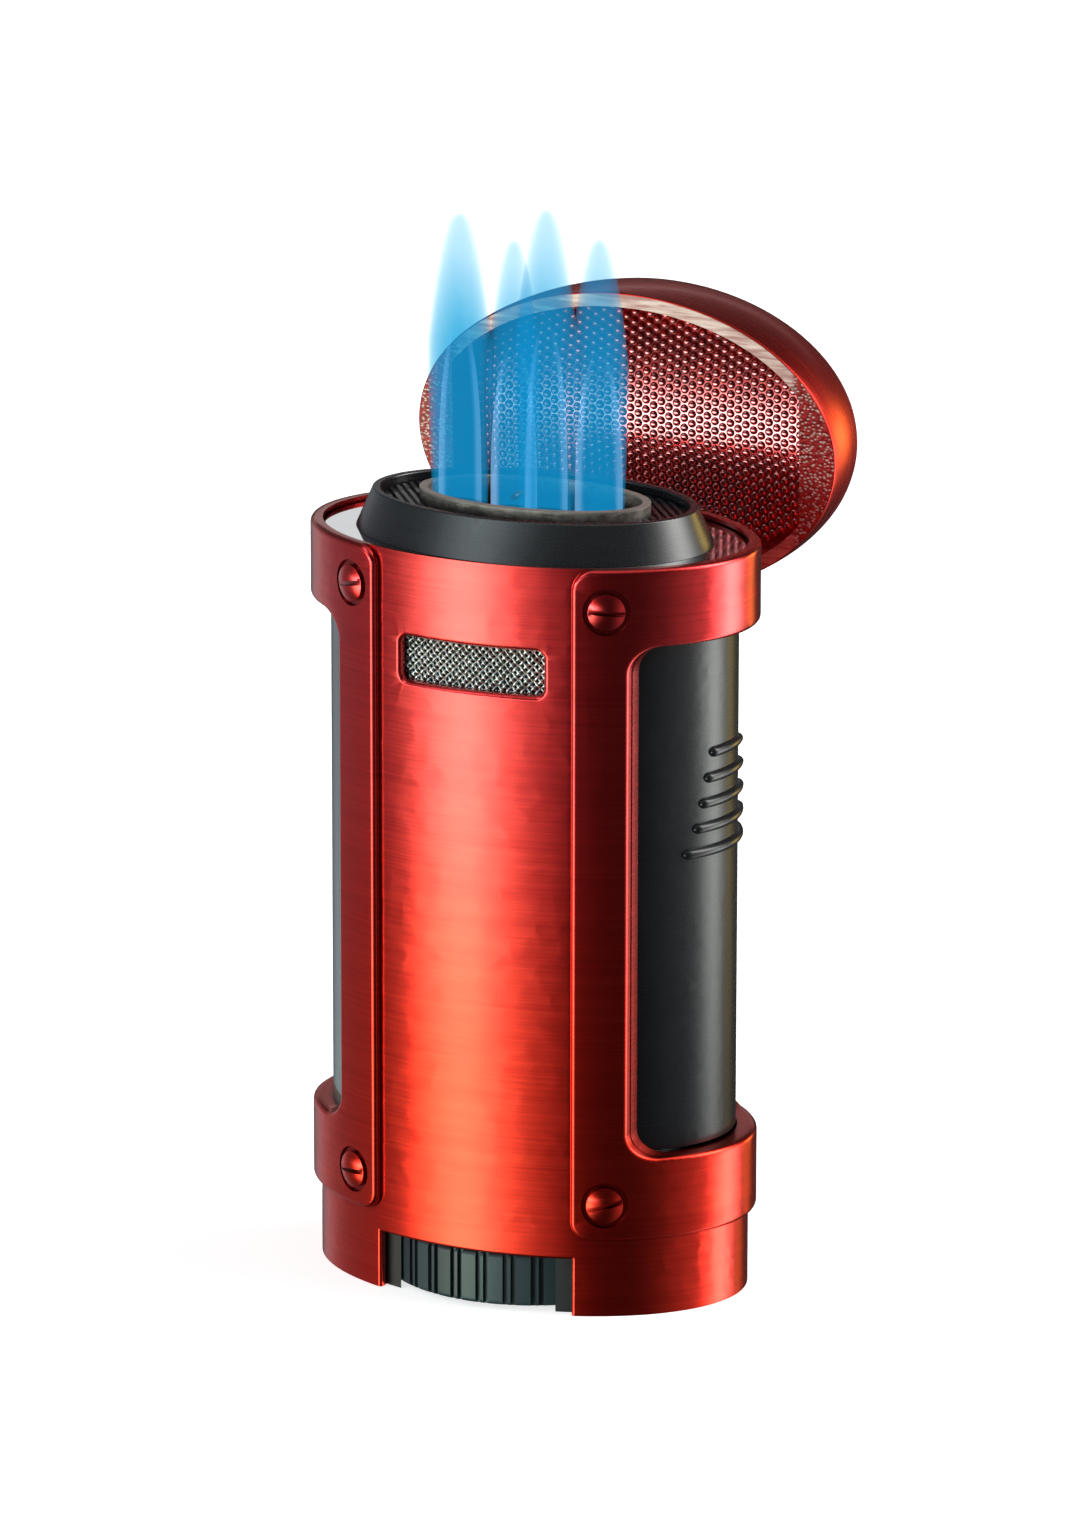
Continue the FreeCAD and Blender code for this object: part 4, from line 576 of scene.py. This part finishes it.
# ------------------------------------------------------------------ trigger: the CAD panel with its square ribs swapped for round-ended, round-backed ones
def trigger_panel():
    pa, pb = 18.18, 12.10
    bm = bmesh.new()
    bm.from_mesh(NODES["trigger"].data)
    def proud(v):
        return (v.co.x / MM / (pa + 0.03)) ** 2 + (v.co.y / MM / (pb + 0.03)) ** 2 > 1
    bmesh.ops.delete(bm, geom=[f for f in bm.faces if any(proud(v) for v in f.verts)], context="FACES")
    # the inner wall keeps clear of the tank cap's ears when the trigger is fully in
    for v in bm.verts:
        if abs(math.hypot(v.co.x / MM / 16.68, v.co.y / MM / 10.60) - 1) < 0.004:
            v.co.x *= 1.004
            v.co.y *= 1.004
    half, tall, deep, turn = 0.51, 0.47, 0.30, 0.62
    arc = 14
    for rz, ry in ((39.9, 5.39), (42.0, 4.54), (44.1, 3.98), (46.25, 3.49), (48.4, 2.94)):
        n = 56
        rows = []
        for i in range(n + 1):
            y = ry * math.sin(math.pi * (i / n - 0.5))
            t = max(0.0, (abs(y) - (ry - turn)) / turn)
            k = max(0.04, (1 - t ** 2.3)) ** (1 / 2.3)
            x = pa * math.sqrt(1 - (y / pb) ** 2)
            out = Vector((x / pa ** 2, y / pb ** 2, 0)).normalized()
            row = []
            for j in range(arc + 1):
                a = math.pi * j / arc
                lift = -deep + (deep + tall * k) * math.sin(a) ** 0.85
                row.append(bm.verts.new((Vector((x, y, rz + half * k * math.cos(a))) + out * lift) * MM))
            rows.append(row)
        for i in range(n):
            for j in range(arc):
                bm.faces.new((rows[i][j], rows[i + 1][j], rows[i + 1][j + 1], rows[i][j + 1]))
        bm.faces.new(rows[0])
        bm.faces.new(list(reversed(rows[-1])))
        # a backing strip, flush with the panel, closes what the square rib leaves open round the new one
        strip = []
        for i in range(41):
            y = (ry + 0.4) * (i / 20 - 1)
            x = pa * math.sqrt(1 - (y / pb) ** 2)
            out = Vector((x / pa ** 2, y / pb ** 2, 0)).normalized()
            strip.append([bm.verts.new((Vector((x, y, rz + dz)) - out * 0.012) * MM) for dz in (-0.85, 0.85)])
        for a, b in zip(strip, strip[1:]):
            bm.faces.new((a[0], b[0], b[1], a[1]))
    me = bpy.data.meshes.new("trigger_panel")
    bm.to_mesh(me)
    bm.free()
    for name in [a.name for a in me.attributes if a.name == "custom_normal"]:
        me.attributes.remove(me.attributes[name])
    me.materials.clear()
    me.materials.append(finish_of("trigger"))
    me.polygons.foreach_set("use_smooth", [True] * len(me.polygons))
    me.polygons.foreach_set("material_index", [0] * len(me.polygons))
    o = bpy.data.objects.new("trigger_panel", me)
    scene.collection.objects.link(o)
    o.modifiers.new("tidy", "NODES").node_group = TIDY
    wn = o.modifiers.new("weighted", "WEIGHTED_NORMAL")
    wn.keep_sharp, wn.weight = True, 60
    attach(o, "trigger")
    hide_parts("trigger")


woven()
liner()
trigger_panel()


# ------------------------------------------------------------------ flames: stage dressing, gone when the lid shuts
def flame_skin(name, deep, pale, z0, z1, core=False):
    m = bpy.data.materials.new(name)
    m.use_nodes = True
    m.node_tree.nodes.clear()
    t = Tree(m.node_tree)
    out = t.add("ShaderNodeOutputMaterial")
    co = t.coords()
    x, y, z = t.split(co)
    up = t.span(z, z0 * MM, z1 * MM, smooth=False)
    face = t.math("SUBTRACT", 1.0, t.add("ShaderNodeLayerWeight").outputs["Facing"])
    wisp = t.noise(t.vmath("MULTIPLY", co, (420, 420, 60)), 1.0, 3.0, 0.5)
    clear = t.add("ShaderNodeBsdfTransparent")
    glow = t.add("ShaderNodeEmission")
    both = t.add("ShaderNodeAddShader")
    if core:  # the inner cone shows as a bright outline
        edge = t.span(t.math("SUBTRACT", 1.0, face), 0.20, 0.40)
        k = t.math("MULTIPLY", edge, t.span(up, 1.02, 0.62))
        t.put(clear.inputs[0], (1.0, 1.0, 1.0))
        t.put(glow.inputs["Color"], (0.34, 0.42, 0.62))
        t.put(glow.inputs["Strength"], t.math("MULTIPLY", k, 0.29))
    else:
        body = t.math("POWER", face, 1.1)
        fade = t.span(up, 1.0, 0.45, 0.50, 1.12)
        k = t.math("MULTIPLY", t.math("MULTIPLY", body, fade), t.math("ADD", 0.82, t.math("MULTIPLY", wisp, 0.36)), clamp=True)
        tint = t.mix(up, deep, pale)
        t.put(clear.inputs[0], t.mix(k, (1.0, 1.0, 1.0), tint))
        t.put(glow.inputs["Color"], (0.008, 0.30, 0.62))
        t.put(glow.inputs["Strength"], t.math("MULTIPLY", k, 0.53))
    t.t.links.new(clear.outputs[0], both.inputs[0])
    t.t.links.new(glow.outputs[0], both.inputs[1])
    t.t.links.new(both.outputs[0], out.inputs["Surface"])
    m.surface_render_method = "BLENDED"
    return m


def lathe(name, x, z0, prof, mat, squash=0.8):
    verts, faces, seg = [], [], 40
    for zz, rr in prof:
        for s in range(seg):
            a = 2 * math.pi * s / seg
            verts.append(((rr * math.cos(a)) * MM, rr * math.sin(a) * squash * MM, zz * MM))
    for i in range(len(prof) - 1):
        for s in range(seg):
            s2 = (s + 1) % seg
            faces.append((i * seg + s, i * seg + s2, (i + 1) * seg + s2, (i + 1) * seg + s))
    o = mesh_object(name, verts, faces, mat)
    o.location = (x * MM, 0, 0)
    o.visible_shadow = False
    o.visible_diffuse = False
    o.visible_glossy = False
    return o


def flames():
    lid_empty = frame["bodies"]["lid"]
    root = bpy.data.objects.new("flame_root", None)
    scene.collection.objects.link(root)
    for k, (x, top, wide, cone, cw) in enumerate(((-7.0, 91.8, 2.85, 83.0, 1.85), (-1.95, 89.9, 2.35, 81.2, 2.0), (1.05, 92.8, 2.75, 83.4, 1.85), (5.95, 90.7, 2.6, 81.4, 2.05))):
        z0 = 66.7
        prof = []
        for i in range(41):
            u = i / 40
            u = math.sin(u * math.pi / 2)
            down = (top - z0) * (1 - u)  # distance below the tip
            r = wide * min(1.0, (down / 11.0)) ** 0.43 * (0.86 + 0.14 * min(1.0, 2.2 * u))
            prof.append((z0 + (top - z0) * u, max(r, 0.01)))
        sheath = lathe("flame_%d" % k, x, z0, prof, flame_skin("flame_sheath_%d" % k, (0.20, 0.41, 0.45), (0.24, 0.44, 0.48), z0, top))
        prof = []
        for i in range(31):
            u = math.sin(i / 30 * math.pi / 2)
            r = cw * (1 - u ** 3.0) ** 0.62
            prof.append((z0 + (cone - z0) * u, max(r, 0.01)))
        inner = lathe("flame_core_%d" % k, x, z0, prof, flame_skin("flame_core_skin_%d" % k, None, None, z0, cone, True), 0.9)
        for o in (sheath, inner):
            o.parent = root
    for axis in range(3):
        d = root.driver_add("scale", axis).driver
        d.type = "SCRIPTED"
        v = d.variables.new()
        v.name, v.type = "turn", "TRANSFORMS"
        v.targets[0].id = lid_empty
        v.targets[0].transform_type = "ROT_X"
        v.targets[0].transform_space = "WORLD_SPACE"
        d.expression = "max(0.0001, min(1.0, (0.2 - turn) * 10.0))"


flames()

# ------------------------------------------------------------------ studio
world = bpy.data.worlds.new("studio")
scene.world = world
world.use_nodes = True
world.node_tree.nodes.clear()
w = Tree(world.node_tree)
ray = w.add("ShaderNodeTexCoord").outputs["Generated"]
dx, dy, dz = w.split(ray)
flat = w.math("MAXIMUM", w.math("SQRT", w.math("ADD", w.math("MULTIPLY", dx, dx), w.math("MULTIPLY", dy, dy))), 1e-4)
hx, hy = w.math("DIVIDE", dx, flat), w.math("DIVIDE", dy, flat)
el = w.math("MULTIPLY", w.math("ARCSINE", dz), 180 / math.pi)


def about(az, sa):
    """1 towards azimuth az (0 is -Y, 90 is +X), falling off over sa degrees."""
    a = math.radians(az)
    c = w.math("ADD", w.math("MULTIPLY", hx, math.sin(a)), w.math("MULTIPLY", hy, -math.cos(a)))
    return w.math("EXPONENT", w.math("MULTIPLY", w.math("SUBTRACT", c, 1.0), 1.0 / math.radians(sa) ** 2))


def level(e0, lo, hi):
    """1 at elevation e0, falling off over lo degrees below it and hi above."""
    d = w.math("SUBTRACT", el, e0)
    s = w.math("ADD", lo, w.math("MULTIPLY", w.math("GREATER_THAN", d, 0.0), hi - lo))
    u = w.math("DIVIDE", d, s)
    return w.math("EXPONENT", w.math("MULTIPLY", w.math("MULTIPLY", u, u), -0.5))


LOBES = [
    # azimuth, spread, elevation, spread below, spread above, strength, colour
    (-27.5, 11, -15, 14, 9, 7.0, (0.58, 1.0, 0.80)),    # key on the front panel, cool: the lacquer takes up its red
    (-27, 22, -15, 14, 11, 0.33, (1.0, 0.1, 0.1)),      # red skirts of the key
    (3, 7, -14, 12, 11, 0.26, (1.0, 1.0, 1.1)),         # its right-hand skirt
    (-25, 15, 4, 3.3, 3.8, 13.0, (0.84, 1.0, 0.97)),    # low bar that the lid's roof and rim catch
    (120, 11, -12, 24, 12, 6.2, (0.97, 1.0, 0.96)),     # strip on the trigger side
    (114, 12, 36, 15, 16, 10.0, (1.0, 1.0, 0.98)),      # its upper half, on the collar's right
    (84, 15, -10, 30, 20, 0.34, (1.0, 0.97, 1.0)),      # fill before the strip
    (154, 6, -1, 8, 7, 4.6, (1.0, 0.70, 0.16)),         # warm spot on the lid's right-hand side
    (-80, 24, -10, 30, 30, 0.23, (0.92, 0.97, 1.12)),   # left fill
    (-118, 14, -12, 20, 18, 0.40, (0.92, 0.96, 1.05)),  # rear left
    (-39, 12, 46, 10, 11, 3.0, (0.84, 0.98, 1.03)),     # high card, on the collar's taper
]
total = w.join(0.036, 0.037, 0.041)
for az, sa, e0, lo, hi, k, col in LOBES:
    f = w.math("MULTIPLY", w.math("MULTIPLY", about(az, sa), level(e0, lo, hi)), k)
    total = w.vmath("ADD", total, w.vmath("SCALE", col, scale=f))
sky = w.math("MULTIPLY", w.math("MULTIPLY", w.span(el, 11.6, 13.2), w.span(el, 17.5, 15.2, 0.05, 1.0)), w.math("ADD", 0.03, w.math("MULTIPLY", about(205, 15), 0.66)))
total = w.vmath("ADD", total, w.vmath("SCALE", (1.0, 1.0, 1.0), scale=sky))
high = w.math("MULTIPLY", w.span(el, 45.0, 75.0), 0.55)
total = w.vmath("ADD", total, w.vmath("SCALE", (1.0, 1.0, 1.0), scale=high))
studio = w.add("ShaderNodeBackground")
w.put(studio.inputs["Color"], total)
white = w.add("ShaderNodeBackground")
w.put(white.inputs["Color"], (1.0, 1.0, 1.0, 1.0))
seen = w.add("ShaderNodeMixShader")
w.put(seen.inputs[0], w.add("ShaderNodeLightPath").outputs["Is Camera Ray"])
w.t.links.new(studio.outputs[0], seen.inputs[1])
w.t.links.new(white.outputs[0], seen.inputs[2])
wo = w.add("ShaderNodeOutputWorld")
w.t.links.new(seen.outputs[0], wo.inputs["Surface"])

card = bpy.data.objects.new("warm_card", bpy.data.lights.new("warm_card", "AREA"))
card.data.shape, card.data.size, card.data.size_y = "RECTANGLE", 0.050, 0.046
card.data.energy, card.data.color = 0.012, (1.0, 0.42, 0.10)
scene.collection.objects.link(card)
ca = math.radians(-31)
card.location = (math.sin(ca) * 0.105, -math.cos(ca) * 0.105, -0.012)
card.rotation_mode = "QUATERNION"
card.rotation_quaternion = (Vector((math.sin(ca), -math.cos(ca), 0))).to_track_quat("Z", "Y")
card.visible_camera = False

# pale floor: seen by the camera only, so that the low lights reach the case's upright walls
fm = bpy.data.materials.new("floor_pale")
fm.use_nodes = True
fm.node_tree.nodes.clear()
ft = Tree(fm.node_tree)
fo = ft.add("ShaderNodeOutputMaterial")
fd, fe, fa = ft.add("ShaderNodeBsdfDiffuse"), ft.add("ShaderNodeEmission"), ft.add("ShaderNodeAddShader")
grit = ft.noise(ft.coords(), 30, 3.0, 0.5)
ft.put(fd.inputs["Color"], ft.mix(grit, (0.80, 0.80, 0.80), (0.86, 0.86, 0.86)))
ft.put(fe.inputs["Color"], (1.0, 1.0, 1.0, 1.0))
fe.inputs["Strength"].default_value = 0.72
ft.t.links.new(fd.outputs[0], fa.inputs[0])
ft.t.links.new(fe.outputs[0], fa.inputs[1])
ft.t.links.new(fa.outputs[0], fo.inputs["Surface"])
floor = mesh_object("floor", [(-3, -3, -0.00002), (3, -3, -0.00002), (3, 3, -0.00002), (-3, 3, -0.00002)], [(0, 1, 2, 3)], fm, False)
floor.visible_glossy = False
floor.visible_diffuse = False
floor.visible_shadow = False
floor.visible_transmission = False

# ------------------------------------------------------------------ camera
AZ, EL, ROLL = math.radians(25.164), math.radians(15.381), math.radians(0.076)
back = Vector((math.sin(AZ) * math.cos(EL), -math.cos(AZ) * math.cos(EL), math.sin(EL)))
right = Vector((math.cos(AZ), math.sin(AZ), 0))
up = back.cross(right)
c, s = math.cos(ROLL), math.sin(ROLL)
right2, up2 = right * c + up * s, right * -s + up * c
cam = bpy.data.objects.new("camera", bpy.data.cameras.new("camera"))
scene.collection.objects.link(cam)
cam.data.sensor_fit = "VERTICAL"
cam.data.sensor_height = 36.0
cam.data.sensor_width = 36.0
cam.data.lens = 9191.95 / 1530 * 36.0
pos = (right2 * 0.527 + up2 * 42.915 + back * 793.548) * MM
m = Matrix.Identity(4)
for i, axis in enumerate((right2, up2, back)):
    for j in range(3):
        m[j][i] = axis[j]
m.translation = pos
cam.matrix_world = m
cam.data.clip_start, cam.data.clip_end = 0.01, 20.0
scene.camera = cam
